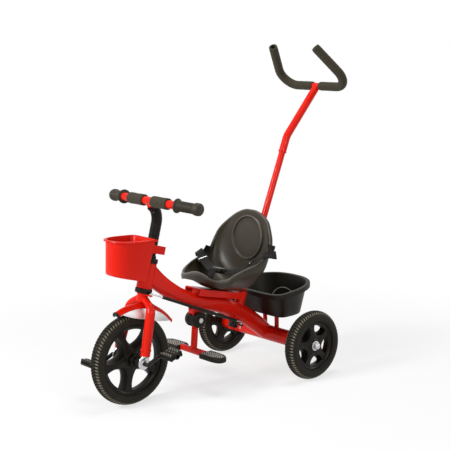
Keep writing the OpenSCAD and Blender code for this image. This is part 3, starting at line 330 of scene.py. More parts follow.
class Finish:
    """The shader nodes of a material, or of the world, under construction."""

    def __init__(self, owner):
        owner.use_nodes = True
        self.owner = owner
        self.tree = owner.node_tree
        self.tree.nodes.clear()

    def add(self, kind, settings=None, inputs=None, output=0):
        """Adds a node: its settings first, then the values or links of its sockets."""
        node = self.tree.nodes.new("ShaderNode" + kind)
        for key, setting in (settings or {}).items():
            setattr(node, key, setting)
        for key, value in (inputs or {}).items():
            if isinstance(value, Value):
                self.tree.links.new(value.socket, node.inputs[key])
            else:
                node.inputs[key].default_value = value
        return None if output is None else Value(self, node.outputs[output])

    def place(self):
        return self.add("TexCoord", output="Object")

    def noise(self, scale, detail=2, rough=0.5, place=None):
        """Cloudy value from 0 to 1 with features about 1 / scale metres across."""
        return self.add("TexNoise", inputs={
            "Vector": place or self.place(), "Scale": scale, "Detail": detail, "Roughness": rough})

    def cells(self, scale):
        """Distance to the nearest cell's middle, for foam and grain."""
        return self.add("TexVoronoi", inputs={"Vector": self.place(), "Scale": scale})

    def band(self, value, low, high):
        """0 below one level and 1 above another, with a smooth ramp between."""
        return self.add("MapRange", {"interpolation_type": "SMOOTHSTEP"}, {
            "Value": value, "From Min": low, "From Max": high})

    def glint_and_pale(self):
        """How far the surface is painted pale, as its points are marked: mostly painted highlights on ribs,
        studs, beads and rims.
        """
        return self.add("Attribute", {"attribute_name": "glint_and_pale"}, output="Fac")

    def mix(self, share, first, second):
        """A colour between two colours."""
        return self.add("Mix", {"data_type": "RGBA"}, {0: share, 6: first, 7: second}, output=2)

    def bump(self, height, strength, depth):
        return self.add("Bump", inputs={"Height": height, "Strength": strength, "Distance": depth})

    def surface(self, inputs):
        """Ends the finish in one principled surface."""
        shader = self.add("BsdfPrincipled", inputs=inputs)
        self.add("OutputMaterial", inputs={"Surface": shader}, output=None)
        return self.owner


def material(name):
    return Finish(bpy.data.materials.new(name))


def colour(red, green, blue):
    """A display colour, 0 to 255, as the linear colour that the shaders take."""
    shares = [c / 255 for c in (red, green, blue)]
    return (*[c / 12.92 if c <= 0.04045 else ((c + 0.055) / 1.055) ** 2.4 for c in shares], 1)


def shaded(tint, share):
    return (*[c * share for c in tint[:3]], 1)


def painted(name, tint):
    """Glossy enamel on steel: a faint mottle, a fine orange peel and small dull patches."""
    f = material(name)
    cloud = f.noise(14, detail=3)
    dull = f.band(f.noise(55, detail=4), 0.58, 0.74)
    return f.surface({
        "Base Color": f.mix(cloud, shaded(tint, 0.86), tint),
        "Roughness": 0.24 + 0.1 * cloud + 0.16 * dull,
        "Normal": f.bump(f.noise(420, detail=1), 0.05, 0.0006),
        "Specular IOR Level": 0.1,
        "Coat Weight": 0.14,
        "Coat Roughness": 0.05})


def moulded(name, tint, gloss, grain=1.0, shine=0.14):
    """Moulded plastic: a fine pebbled grain, slight flow marks, pale scuffs, and painted highlights where
    points are marked pale.
    """
    f = material(name)
    flow = f.noise(9, detail=3)
    scuff = f.band(f.noise(75, detail=6, rough=0.7), 0.64, 0.8)
    pebble = f.cells(950)
    # Marked points are painted toward a pale colour: painted highlights
    base = f.mix(f.glint_and_pale(), f.mix(flow, shaded(tint, 0.8), tint), PLASTIC_PALE_AND_GLINT)
    return f.surface({
        "Base Color": f.mix(0.18 * scuff, base, shaded(tint, 2.4)),
        "Roughness": gloss + 0.12 * flow + 0.14 * scuff,
        "Normal": f.bump(pebble, 0.16 * grain, 0.0004),
        "Specular IOR Level": shine})


def tyre_foam_finish(name, tint):
    """Solid foam rubber: matt, with a fine skin and dust in patches. Marked points are painted toward a pale
    colour: painted highlights on the rib tops, and a slightly paler tone on the walls.
    """
    f = material(name)
    cloud = f.noise(22, detail=4)
    dust = f.band(f.noise(48, detail=5, rough=0.65), 0.5, 0.82)
    base = f.mix(f.glint_and_pale(), shaded(tint, 0.3), f.mix(cloud, *TREAD_PALE_AND_GLINT))
    return f.surface({
        "Base Color": f.mix(0.2 * dust, base, DUST),
        "Roughness": 0.5 + 0.2 * cloud,
        "Normal": f.bump(f.noise(900, detail=3), 0.25, 0.0005),
        "Specular IOR Level": 0.12})


def soft_foam_finish(name, tint):
    """Closed-cell foam sleeve: open cells in the skin, and a slight crush pattern."""
    f = material(name)
    cell = f.cells(620)
    cloud = f.noise(40, detail=4)
    crush = f.noise(130, detail=2)
    return f.surface({
        "Base Color": f.mix(cloud, shaded(tint, 0.7), tint),
        "Roughness": 0.74 + 0.18 * cloud,
        "Normal": f.bump(cell + 0.8 * crush, 0.35, 0.0007),
        "Specular IOR Level": 0.2,
        "Sheen Weight": 0.06})


def grip_rubber_finish(name, tint):
    """Soft rubber: satin, with a fine grain and finger marks."""
    f = material(name)
    marks = f.noise(60, detail=4)
    return f.surface({
        "Base Color": f.mix(marks, shaded(tint, 0.75), shaded(tint, 1.2)),
        "Roughness": 0.42 + 0.22 * marks,
        "Normal": f.bump(f.noise(1300, detail=2), 0.18, 0.0004),
        "Specular IOR Level": 0.25})


def plated(name, tint, dull=0.2):
    """Bright zinc or chrome plate: fine polishing streaks and a little haze."""
    f = material(name)
    drawn = f.add("Mapping", {"vector_type": "POINT"}, {"Vector": f.place(), "Scale": (300, 300, 1500)})
    streak = f.noise(1, detail=3, place=drawn)
    haze = f.noise(35, detail=4)
    return f.surface({
        "Base Color": f.mix(haze, shaded(tint, 0.82), tint),
        "Metallic": 1.0,
        "Roughness": dull + 0.18 * haze + 0.05 * streak,
        "Normal": f.bump(streak, 0.05, 0.0002)})


def webbing_finish(name, tint):
    """Woven strap: ribs along it crossed by picks, a little faded in patches."""
    f = material(name)
    flat = f.add("UVMap", {"uv_map": "webbing"})
    ribs = f.add("TexWave", {"bands_direction": "X"}, {"Vector": flat, "Scale": 0.21}, 1)
    picks = f.add("TexWave", {"bands_direction": "Y"}, {
        "Vector": flat, "Scale": 0.26, "Phase Offset": 1.3}, 1)
    weave = ribs * picks
    fade = f.noise(55, detail=4)
    return f.surface({
        "Base Color": f.mix(weave, shaded(tint, 0.55), f.mix(fade, tint, shaded(tint, 1.5))),
        "Roughness": 0.66 + 0.2 * fade,
        "Normal": f.bump(weave, 0.5, 0.0006),
        "Specular IOR Level": 0.2,
        "Sheen Weight": 0.08})


RED = colour(224, 28, 8)
# Pale colours toward which marked points are painted: mostly painted highlights on plastic, and on the tyres'
# rib tops
PLASTIC_PALE_AND_GLINT = colour(176, 172, 164)
TREAD_PALE_AND_GLINT = (colour(180, 172, 148), colour(206, 198, 174))
DUST = colour(92, 87, 74)
# One finish for each slot, and a duller plate for the mudguard's skirts
FINISHES = {
    "red_paint": painted("red_enamel", RED),
    "black_paint": painted("black_enamel", colour(26, 24, 21)),
    "red_plastic": moulded("red_moulding", RED, gloss=0.24, grain=0.3),
    "black_plastic": moulded("black_moulding", colour(30, 28, 22), gloss=0.42),
    "seat_plastic": moulded("seat_moulding", colour(50, 43, 29), gloss=0.3, grain=0.7, shine=0.3),
    "basket_plastic": moulded("basket_moulding", colour(30, 27, 20), gloss=0.36),
    "wheel_plastic": moulded("wheel_moulding", colour(26, 23, 17), gloss=0.3, grain=0.6),
    "tyre_foam": tyre_foam_finish("tyre_rubber", colour(40, 37, 28)),
    "grip_rubber": grip_rubber_finish("grip_rubber", colour(46, 41, 31)),
    "soft_foam": soft_foam_finish("sleeve_foam", colour(62, 56, 43)),
    "bright_steel": plated("bright_plate", (0.6, 0.6, 0.61, 1)),
    "dull_steel": plated("dull_plate", (0.8, 0.8, 0.8, 1), dull=0.3),
    "webbing": webbing_finish("harness_weave", colour(18, 16, 12)),
}


# Making pieces
def in_scene(name, data):
    """A new object in the scene."""
    item = bpy.data.objects.new(name, data)
    bpy.context.scene.collection.objects.link(item)
    return item


def make(name, shape, place, body, slot, replaces=(), crease=38, weave=None, finish=None):
    """A piece of the trike from a shape, smooth but for edges sharper than the crease angle.

    The weave is a flat place for each point of a strap. The finish is the slot's own unless one is named.
    """
    mesh = bpy.data.meshes.new(name)
    mesh.from_pydata([place @ point * MM for point in shape.points], [], shape.faces)
    bm = bmesh.new()
    bm.from_mesh(mesh)
    bmesh.ops.recalc_face_normals(bm, faces=bm.faces)
    bm.to_mesh(mesh)
    bm.free()
    mesh.shade_smooth()
    mesh.set_sharp_from_angle(angle=math.radians(crease))
    if weave:
        layer = mesh.uv_layers.new(name="webbing")
        for loop in mesh.loops:
            layer.data[loop.index].uv = weave[loop.vertex_index]
    # Points painted pale, mostly as painted highlights, are kept as an attribute for the finishes
    if any(shape.glint_and_pale):
        mesh.attributes.new("glint_and_pale", "FLOAT", "POINT").data.foreach_set("value", shape.glint_and_pale)
    mesh.materials.append(FINISHES[finish or slot])
    piece = in_scene(name, mesh)
    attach(piece, body)
    if replaces:
        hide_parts(*replaces)
    return piece


def keep(node, slot, edge=0.5):
    """Shows a solid as it is, with its edges eased and its finish on."""
    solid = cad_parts[node]
    solid.data.materials.clear()
    solid.data.materials.append(FINISHES[slot])
    weld = solid.modifiers.new("weld", "WELD")
    weld.merge_threshold = 0.01 * MM
    ease = solid.modifiers.new("ease", "BEVEL")
    ease.width = edge * MM
    ease.segments = 2
    ease.limit_method = "ANGLE"
    ease.angle_limit = math.radians(32)
    ease.use_clamp_overlap = True
    normals = solid.modifiers.new("normals", "WEIGHTED_NORMAL")
    normals.weight = 80


# Wheels, about their own z, which points out from the trike
TYRE_W = 41
TYRE_H = 27
TREAD_HALF = 17
TREAD_SPLIT = 8.5
TREAD_GAP = 0.5
WALL_GAP = 0.6
# Angles across the tyre between which a groove is pressed in its wall
WALL_GROOVES = ((66, 70), (88, 93))
GROOVE_DEPTH = 0.6
RIB_PITCH = 9
RIB_H = 2
RIB_LEAN = 0.035
# Shares of the pitch at which a rib starts, is full, and ends
RIB_STEPS = ((0, 0), (0.13, 1), (0.52, 1), (0.65, 0))
WALL_TONE = 0.02
# How pale the rib tops are painted as a painted highlight, the extra at the shoulders, and where and how wide
# that band is
RIB_TOP_GLINT = 0.04
SHOULDER_GLINT = 0.32
SHOULDER_X = 13.5
SHOULDER_W = 3
# Distances in from the rim's outer face, and in from its lip
RIM_STEPS = ((0, 1.6), (1.2, 0), (3.6, 0), (5, 1.6), (5.4, 6), (9, 9.5), (14, 11.5))
RIM_DEPTH = 14.6
SPOKES = 5
SPOKE_W = 27
SPOKE_FLARE = 0.65
SPOKE_FACE = 10
SPOKE_SLOPE = 6
FRONT_SPOKE_BACK = -18
REAR_SPOKE_BACK = -12.4
HUB_R = 20
HUB_BORE = 6.4


def tyre_wall(half):
    """Grooved wall from its foot up to the tread. A point is a place across, a depth and a share of rib."""
    foot = math.degrees(math.acos(1 - TYRE_H / half))
    tread_edge = math.degrees(math.asin((TREAD_HALF + WALL_GAP) / half))
    wall = [(lerp(foot, tread_edge, t), 0) for t in steps(12)]
    for low, high in WALL_GROOVES:
        wall = [(angle, dent) for angle, dent in wall if not low <= angle <= high]
        wall += [(low, 0), (low + 1, -GROOVE_DEPTH), (high - 1, -GROOVE_DEPTH), (high, 0)]
    wall.sort(reverse=True)
    turns = [(*heading(angle), dent) for angle, dent in wall]
    return [(half * across, half * (level - 1) + dent, 0) for level, across, dent in turns]


def tread_ribs(half):
    """Two rows of ribs, from the shoulder to the middle, as points like the wall's."""
    points = []
    for outer, inner in ((TREAD_HALF, TREAD_SPLIT + TREAD_GAP), (TREAD_SPLIT, TREAD_GAP)):
        tops = [outer - 0.7, lerp(outer, inner, 0.35), lerp(outer, inner, 0.65), inner + 0.6]
        columns = [(outer, 0), *[(x, 1) for x in tops], (inner, 0)]
        points += [(x, math.sqrt(half * half - x * x) - half, rise) for x, rise in columns]
    return points


def tyre(radius):
    """Round tyre with a line on each wall and four rows of slanted ribs, whose tops are painted pale as a
    painted highlight, most at the shoulders.
    """
    half = TYRE_W / 2
    ribs = round(2 * math.pi * radius / RIB_PITCH)
    across = tyre_wall(half) + tread_ribs(half)
    rows = []
    marks = []
    for x, depth, rise in across + [(-x, depth, rise) for x, depth, rise in across[::-1]]:
        on_tread = abs(x) < TREAD_HALF
        lean = RIB_LEAN * abs(min(abs(x), TREAD_HALF) - TREAD_SPLIT) / TREAD_SPLIT
        if x < 0:
            lean += math.pi / ribs
        # Painted highlight on the rib tops, strongest at the shoulders
        glint = RIB_TOP_GLINT + SHOULDER_GLINT * math.exp(-((abs(x) - SHOULDER_X) / SHOULDER_W) ** 2)
        row = []
        for k in range(ribs):
            for share, high in RIB_STEPS:
                angle = 2 * math.pi * (k + share) / ribs + lean
                sunk = RIB_H * (1 - rise * high) if on_tread else 0
                r = radius - sunk + depth
                row.append((r * math.cos(angle), r * math.sin(angle), x))
                marks.append(rise * high * glint if on_tread else WALL_TONE)
        rows.append(row)
    shape = Shape().skin(rows, along=True)
    shape.glint_and_pale = marks
    return shape


def wheel_rim(rim):
    """Ring under the tyre with rolled lips, deepest in the middle."""
    lip = TYRE_W / 2 - 1.2
    half = [(rim, 0), *[(rim - inward, lip - back) for inward, back in RIM_STEPS], (rim - RIM_DEPTH, 0)]
    return lathe(half + [(r, -z) for r, z in half[-2:0:-1]], 128, closed=True)


def spoke_outline(reach, drawn):
    """Outline of all the spokes, drawn in by a distance."""
    def half(t):
        return SPOKE_W / 2 * (1 + SPOKE_FLARE * (2 * t - 1) ** 2) - drawn
    root = half(0) / math.tan(math.pi / SPOKES)
    edge = [(lerp(root, reach, t), half(t)) for t in steps(20)]
    spoke = [Vector((x, -y, 0)) for x, y in edge] + [Vector((x, y, 0)) for x, y in edge[:0:-1]]
    star = []
    for s in range(SPOKES):
        star += [turned(360 * s / SPOKES, "Z") @ point for point in spoke]
    return [(point.x, point.y) for point in star]


def spoke_star(reach, low, high):
    """Flared spokes with eased edges, which narrow toward their front face."""
    return stacked(spoke_outline, reach, [
        (low, 2), (low + 0.6, 0.6), (low + 2, 0), (high - 15, 0), (high - 5, SPOKE_SLOPE - 1.5),
        (high - 1, SPOKE_SLOPE - 0.8), (high, SPOKE_SLOPE + 0.6)])


def wheel_hub(hub_in, hub_out, low, high):
    """Stepped hub with a bore, and a web that widens behind the spokes' front face."""
    shoulder = min(2 - hub_in, low + 0.2)
    back = [(HUB_BORE, -hub_in), (HUB_R - 2.5, -hub_in), (HUB_R, shoulder), (HUB_R, low + 0.3)]
    web = [(HUB_R + 5, low + 0.4), (HUB_R + 11, low + 2), (HUB_R + 6, high - 12), (HUB_R + 2, high + 0.4)]
    nose = [(HUB_R - 1, high + 1.6), (HUB_R - 2, hub_out - 1.5), (HUB_R - 3.5, hub_out),
            (12.5, hub_out), (12, hub_out - 1.2), (HUB_BORE, hub_out - 1.2)]
    return lathe(back + web + nose, 64, closed=True)


def spoked_wheel(tyre_r, hub_in, hub_out, spoke_back):
    """Rim, spokes and hub of a moulded wheel."""
    rim = tyre_r - TYRE_H - 0.1
    shape = wheel_rim(rim)
    shape.join(spoke_star(rim - 5, spoke_back, SPOKE_FACE))
    return shape.join(wheel_hub(hub_in, hub_out, spoke_back, SPOKE_FACE))


CRANKED = "front_wheel_and_cranks"
FRONT_HUB = 30
FRONT_TURN = -12
REAR_X = 191
REAR_HUB_IN = 12.6
REAR_HUB_OUT = 14
REAR_TURN = 188

front_place = FRONT_AXLE @ ALONG_X @ turned(FRONT_TURN, "Z")
front_wheel = spoked_wheel(FRONT_R, FRONT_HUB, FRONT_HUB, FRONT_SPOKE_BACK)
make("front_tyre_ribbed", tyre(FRONT_R), front_place, CRANKED, "tyre_foam", ["front_tyre"])
make("front_wheel_moulded", front_wheel, front_place, CRANKED, "wheel_plastic", ["front_wheel"])
rear_wheel = spoked_wheel(REAR_R, REAR_HUB_IN, REAR_HUB_OUT, REAR_SPOKE_BACK)
for side, flip in SIDES:
    wheel_place = REAR_AXLE @ flip @ moved(REAR_X, 0, 0) @ ALONG_X @ turned(REAR_TURN, "Z")
    wheel_body = f"{side}_rear_wheel_body"
    make(f"{side}_rear_tyre_ribbed", tyre(REAR_R), wheel_place, wheel_body, "tyre_foam",
         [f"{side}_rear_tyre"])
    make(f"{side}_rear_wheel_moulded", rear_wheel, wheel_place, wheel_body, "wheel_plastic",
         [f"{side}_rear_wheel"])

# Cranks and pedals
CRANK_LEN = 59
CRANK_ANGLE = 25
CRANK_R = 5.5
CRANK_BEND = 7
CRANK_X = 78.7
PEDAL_FROM = 87.2
PEDAL_W = 46
PEDAL_DEPTH = 40
PEDAL_H = 19
PEDAL_BAR = 7
PEDAL_END = 5
PEDAL_TILT = 15
STUD_ROWS = 3
STUD_COLS = 4
STUD_H = 3.5
TEETH = 6
CRANK_UP = CRANK_LEN * Vector((0, *heading(CRANK_ANGLE)))
SPINDLE_END = PEDAL_FROM + PEDAL_W + 5.4
RIGHT_HALF = MIRROR @ turned(180, "X")


def crank_rod():
    """One bent rod from the right pedal's far end through the hub to the left one's."""
    shoulder = Vector((CRANK_X, 0, 0))
    half = [shoulder, shoulder + CRANK_UP, Vector((SPINDLE_END, 0, 0)) + CRANK_UP]
    return sweep(bent([-corner for corner in half[::-1]] + half, CRANK_BEND), CRANK_R, 24)


def pedal():
    """Block pedal with a raised frame, rows of studs on both faces and a barrel for its spindle."""
    core = PEDAL_H - 2 * STUD_H
    bar_y = (PEDAL_DEPTH - PEDAL_BAR) / 2
    shape = rounded_box((PEDAL_W, PEDAL_DEPTH, core), 3.5)
    for way in (-1, 1):
        shape.join(rounded_box((PEDAL_W, PEDAL_BAR, core + 3), 1.6), moved(0, way * bar_y, 0))
    for way in (-1, 1):
        end_bar = rounded_box((PEDAL_END, PEDAL_DEPTH - 2, core + 2.4), 1.6)
        shape.join(end_bar, moved(way * (PEDAL_W / 2 - 2.8), 0, 0))
    # Studs and teeth painted pale: painted highlights on their ridges
    stud = lathe([(3, 0), (2.6, 1.6), (1.7, 3.4), (0.9, STUD_H)], 12).paint_pale(0.4)
    tooth = lathe([(2.2, 0), (1.6, 1.6), (0.8, 2)], 10).paint_pale(0.4)
    knobs = [(stud, moved(lerp(-14.5, 14.5, col), lerp(-11.5, 11.5, row), core / 2))
             for col in steps(STUD_COLS - 1) for row in steps(STUD_ROWS - 1)]
    knobs += [(tooth, moved(lerp(-20, 20, col), way * bar_y, core / 2 + 1.5))
              for col in steps(TEETH - 1) for way in (-1, 1)]
    for knob, spot in knobs:
        shape.join(knob, spot)
        shape.join(knob, turned(180, "X") @ spot)
    return shape.join(rod(8.5, -PEDAL_W / 2, PEDAL_W / 2, 1.2, 32), ALONG_X)


make("crank_rod", crank_rod(), FRONT_AXLE, CRANKED, "black_paint", ["crank_axle"])
hub_spacers = pipe(12, 6.2, FRONT_HUB + 0.1, 55.6, 1, 40).at(ALONG_X).both()
make("hub_spacer_rings", hub_spacers, FRONT_AXLE, CRANKED, "black_plastic", ["hub_spacers"])
cap = lathe([(6, 0), (8.5, 0), (8.5, 3), (7.2, 4.6), (5, 5.1)], 32)
cap_place = moved(PEDAL_FROM + PEDAL_W + 0.3, *CRANK_UP.yz) @ ALONG_X
caps = cap.at(cap_place).join(cap, RIGHT_HALF @ cap_place)
make("pedal_end_caps", caps, FRONT_AXLE, CRANKED, "black_plastic", ["pedal_caps"])
for side, half_turn, tilt in (("left", Matrix(), PEDAL_TILT), ("right", RIGHT_HALF, -PEDAL_TILT)):
    pedal_place = FRONT_AXLE @ half_turn @ moved(PEDAL_FROM + PEDAL_W / 2, *CRANK_UP.yz) @ turned(tilt, "X")
    make(f"{side}_pedal_studded", pedal(), pedal_place, f"{side}_pedal_body", "black_plastic",
         [f"{side}_pedal"])

# Fork, in the steering frame
NECK_LOW = 154.8
NECK_TOP = 180.4
NECK_R = 15
ARM_R = 10
ARM_FROM = (2, 172)
LEG_R = 13
LEG_TOP = (46, 147)
LEG_END = (59, 20)
LEG_X = LEG_END[0]
FORK_BEND = 30
LEVER_R = 32
TAB_W = 13
TAB_T = 4
# Height, half thickness and half width of the tube's pressed end, down to the round of its tongue
DROPOUT_ROWS = (
    (30, 10.5, 10.5), (20, 10.5, 10.5), (16, 7.5, 12.5), (12, 4.8, 15), (8, 3.4, 16.6), (3, 3, 17))
TONGUE_R = 17
TONGUE_T = 3


def steering_tab():
    """Flat lever with a round end, at the top of the fork's neck."""
    def outline(reach, drawn):
        half = TAB_W / 2 - drawn
        turns = [math.pi * (t - 0.5) for t in steps(16)]
        tip = [(reach + half * math.cos(a), half * math.sin(a)) for a in turns]
        return [(drawn, -half)] + tip + [(drawn, half)]
    return slab(outline, LEVER_R, NECK_TOP - TAB_T, NECK_TOP, 0.8)


def fork_leg():
    """Tube that leaves the neck, bends down outside the tyre and ends at the dropout."""
    path = bent([(x, 0, z) for x, z in (ARM_FROM, LEG_TOP, LEG_END)], FORK_BEND, 20)
    radii = [lerp(ARM_R, LEG_R, smooth(k / 20)) for k in range(len(path) - 1)] + [LEG_R]
    tip = path[-1] + (path[-1] - path[-2]).normalized() * 0.8
    return sweep(path + [tip], radii + [LEG_R - 1], 40)


def fork_neck():
    """Short stub with a collar under the head tube's lower cup."""
    return lathe([
        (NECK_R - 2, NECK_LOW), (NECK_R, NECK_LOW + 2), (NECK_R, NECK_TOP - 4), (NECK_R + 2, NECK_TOP - 2.5),
        (NECK_R + 2, NECK_TOP), (12.5, NECK_TOP), (12.5, NECK_TOP + 4)])


def dropout():
    """Tube end pressed flat into a round tongue about the axle, with a washer."""
    turns = [heading(86 * t) for t in steps(10)]
    tongue = [(-TONGUE_R * down, TONGUE_T, TONGUE_R * wide) for wide, down in turns]
    rows = []
    for z, thick, wide in [*DROPOUT_ROWS, *tongue]:
        rows.append([(LEG_X + thick * spow(math.cos(a), 0.75), wide * spow(math.sin(a), 0.9), z)
                     for a in around(40)])
    washer = lathe([(6.2, -1.6), (10.5, -1.6), (10.5, 0.8), (9.5, 1.4), (6.2, 1.4)], 32, closed=True)
    return Shape().skin(rows, ends=True).join(washer, moved(LEG_X + 3.2, 0, 0) @ ALONG_X)


def dropout_bolts():
    """Round heads on the front and the back of each leg."""
    head = lathe([(5, 0), (5, 1.5), (4.2, 2.6), (2.4, 3.2), (0.6, 3.4)], 24)
    lean = math.degrees(math.atan2(LEG_TOP[0] - LEG_X, LEG_TOP[1] - LEG_END[1]))
    place = moved(LEG_X, 0, LEG_END[1]) @ turned(lean, "Y") @ moved(0, 0, 16)
    bolts = Shape()
    for way in (0, 180):
        bolts.join(head, place @ turned(way, "Z") @ moved(0, LEG_R - 0.4, 0) @ ALONG_Y)
    return bolts.both()


fork = fork_leg().both().join(fork_neck()).join(steering_tab())
make("fork_tubes", fork, STEERED, "front_fork", "red_paint", ["fork"])
for side, flip in SIDES:
    make(f"{side}_dropout_pressed", dropout(), STEERED @ flip, "front_fork", "bright_steel",
         [f"{side}_dropout"])
make("dropout_bolt_heads", dropout_bolts(), STEERED, "front_fork", "red_paint", ["dropout_bolts"])

# Mudguard
GUARD_R = 154
GUARD_SHIFT = 17
GUARD_HALF = 17
GUARD_ANGLE = 38
GUARD_T = 2.4
GUARD_CROWN = 8
GUARD_TAPER = 0.3
NECK_RISE = 7
BEAD_R = 1.9
BEAD_DROP = 1.4
SKIRT_X = 16
SKIRT_FLARE = 10
SKIRT_T = 2
SKIRT_DEPTH = 28
SKIRT_SHARE = 0.92
# Size and drop of the black piece that is painted shade under the guard's front tip
LIP_R = 5
LIP_DROP = 4


def guard_point(a, x, r):
    """Place at an angle from the top, a distance across and a radius. The guard narrows to its tips."""
    narrowed = 1 - GUARD_TAPER * (a / GUARD_ANGLE) ** 2
    level, ahead = heading(a)
    return Vector((x * narrowed, GUARD_SHIFT + r * ahead, r * level))


def guard_height(a, x):
    """Radius of the guard's outer face: crowned across, and pressed up round the fork's neck."""
    pressed = NECK_RISE * math.exp(-(a / 9) ** 2 - (x / 15) ** 2)
    return GUARD_R - GUARD_CROWN * (x / GUARD_HALF) ** 2 + pressed


def mudguard():
    """Thin crowned arch with a rolled edge along both sides and round its tips."""
    xs = [lerp(-GUARD_HALF, GUARD_HALF, s) for s in steps(24)]
    rows = []
    for a in (lerp(-GUARD_ANGLE, GUARD_ANGLE, t) for t in steps(48)):
        upper = [guard_point(a, x, guard_height(a, x)) for x in xs]
        lower = [guard_point(a, x, guard_height(a, x) - GUARD_T) for x in xs[::-1]]
        rows.append(upper + lower)

    def tip(a):
        across = [lerp(GUARD_HALF, -GUARD_HALF, s) for s in steps(12)[1:-1]]
        return [guard_point(a, x, guard_height(a, x) - BEAD_DROP) for x in across]
    edge = [guard_point(lerp(-GUARD_ANGLE, GUARD_ANGLE, t), GUARD_HALF, GUARD_R - GUARD_CROWN - BEAD_DROP)
            for t in steps(40)]
    far_edge = [MIRROR @ point for point in edge[::-1]]
    loop = edge + tip(GUARD_ANGLE) + far_edge + tip(-GUARD_ANGLE)[::-1]
    return Shape().skin(rows, ends=True).join(bead(loop, BEAD_R))


def skirt():
    """Bright side plate under the guard's edge, deepest in the middle, with a rolled lower edge."""
    top = GUARD_R - GUARD_T - GUARD_CROWN * (SKIRT_X / GUARD_HALF) ** 2 - 0.1
    rows = []
    edge = []
    for t in steps(48):
        k = 2 * t - 1
        a = SKIRT_SHARE * GUARD_ANGLE * k
        low = top - 0.5 - SKIRT_DEPTH * (1 - abs(k) ** 3)
        out = [SKIRT_X + SKIRT_FLARE * math.sin(math.pi / 2 * (1 - s)) * (1 - k * k) for s in steps(8)]
        front = [guard_point(a, x, lerp(low, top, s)) for s, x in zip(steps(8), out)]
        back = [guard_point(a, x - SKIRT_T, lerp(low, top, s)) for s, x in zip(steps(8), out)]
        rows.append(front + back[::-1])
        edge.append(guard_point(a, out[0] - 0.8, low))
    return Shape().skin(rows, ends=True).join(sweep(edge, 1.5, 10))


def shade_under_tip():
    """Black piece under the guard's front tip, painted shade for the tip's shadowed underside."""
    path = []
    for t in steps(16):
        x = lerp(-1.2, 1.2, t) * GUARD_HALF
        path.append(guard_point(-GUARD_ANGLE - 1, x, guard_height(-GUARD_ANGLE, x) - LIP_DROP))
    return sweep(path, [LIP_R - 3.4 * (2 * t - 1) ** 6 for t in steps(16)], 16)


# A black piece as painted shade under the guard's front tip
make("mudguard_tip_shade", shade_under_tip(), STEERED, "front_fork", "black_plastic")
make("mudguard_arch", mudguard(), STEERED, "front_fork", "red_plastic", ["mudguard"])
make("mudguard_bright_skirts", skirt().both(), STEERED, "front_fork", "bright_steel", ["mudguard_skirts"],
     finish="dull_steel")

# Head tube and its cups
HEAD_LOW = 193.8
HEAD_TOP = 263.8
HEAD_R = 22
HEAD_BORE = 17.5
CUP_H = 13

head = pipe(HEAD_R, HEAD_BORE, HEAD_LOW, HEAD_TOP, 1, 72)
make("head_tube_painted", head, STEERED, "frame", "red_paint", ["head_tube"])
cup = lathe([
    (12.6, 0), (21.5, 0), (23, 1.2), (23.5, 3), (23.5, 5.4), (22.9, 6), (23.5, 6.6), (23.5, CUP_H - 2),
    (22.4, CUP_H - 0.2), (12.6, CUP_H - 0.2)], 72, closed=True)
lower_cup = STEERED @ moved(0, 0, HEAD_LOW - CUP_H)
upper_cup = STEERED @ moved(0, 0, HEAD_TOP + CUP_H) @ turned(180, "X")
make("lower_cup_turned", cup, lower_cup, "frame", "black_plastic", ["lower_head_cup"])
make("upper_cup_turned", cup, upper_cup, "frame", "black_plastic", ["upper_head_cup"])

# Stem and handlebar
STEM_LOW = 277.2
STEM_TOP = 372.9
STEM_R = 15
STEM_BEND = 53
STEM_BEND_R = 52
STEM_STEP = 1.2
BAR_R = 11
BAR_CORNER = 105.525
BAR_END = (188.5, 20.69)
BAR_BEND_R = 45
SLEEVE_FROM = 19
SLEEVE_TO = 84
SLEEVE_R = 15.5
GRIP_LEN = 80
GRIP_ON_BAR = 76
GRIP_RIBS = 11
STEM_WAY = turned(STEM_BEND, "X") @ UP


def stem():
    """Bent post in a sleeve ringed with fine grooves, with a collar at each end."""
    rise = STEM_BEND_R * math.tan(math.radians(STEM_BEND / 2))
    corner = Vector((0, 0, STEM_TOP + rise))
    corners = [(0, 0, STEM_LOW), corner, corner + STEM_WAY * (rise + 4)]
    path = resampled(bent(corners, STEM_BEND_R, 24), STEM_STEP)
    shape = sweep(path, [STEM_R - (k % 4 == 0) for k in range(len(path))], 40)
    foot = ((0, 0), (1.6, 0), (2, 1), (2, 6), (1, 7.2), (-1, 7.4))
    shape.join(lathe([(STEM_R + out, STEM_LOW + up) for out, up in foot], 48))
    collar = points_along(path[-1], STEM_WAY, (-7, -6, -1, 0))
    return shape.join(sweep(collar, [STEM_R, STEM_R + 1.4, STEM_R + 1.4, STEM_R + 0.4], 40))


def handlebar():
    """Bent bar with a short spigot into the stem and a bead of weld round it."""
    x, y = BAR_END
    corners = [(-x, y, 0), (-BAR_CORNER, 0, 0), (BAR_CORNER, 0, 0), (x, y, 0)]
    shape = sweep(bent(corners, BAR_BEND_R, 12), BAR_R, 36)
    shape.join(sweep(points_along(ORIGIN, STEM_WAY, (-22, 0)), 9.8, 32))
    return shape.join(sweep(points_along(ORIGIN, STEM_WAY, (-13.5, -12, -9, -6)), [10, 12.5, 13.6, 10], 32))


def bar_sleeve():
    """Foam sleeve with soft ends and a slightly uneven face."""
    length = SLEEVE_TO - SLEEVE_FROM
    end = [(BAR_R + 0.1, 0), (SLEEVE_R - 2.4, 0), (SLEEVE_R - 0.7, 0.7), (SLEEVE_R, 2.4)]
    face = [(SLEEVE_R + 0.25 * math.sin(9 * t) - 0.2, lerp(4, length - 4, t)) for t in steps(20)]
    return lathe(end + face + [(r, length - z) for r, z in end[::-1]], 48, closed=True)


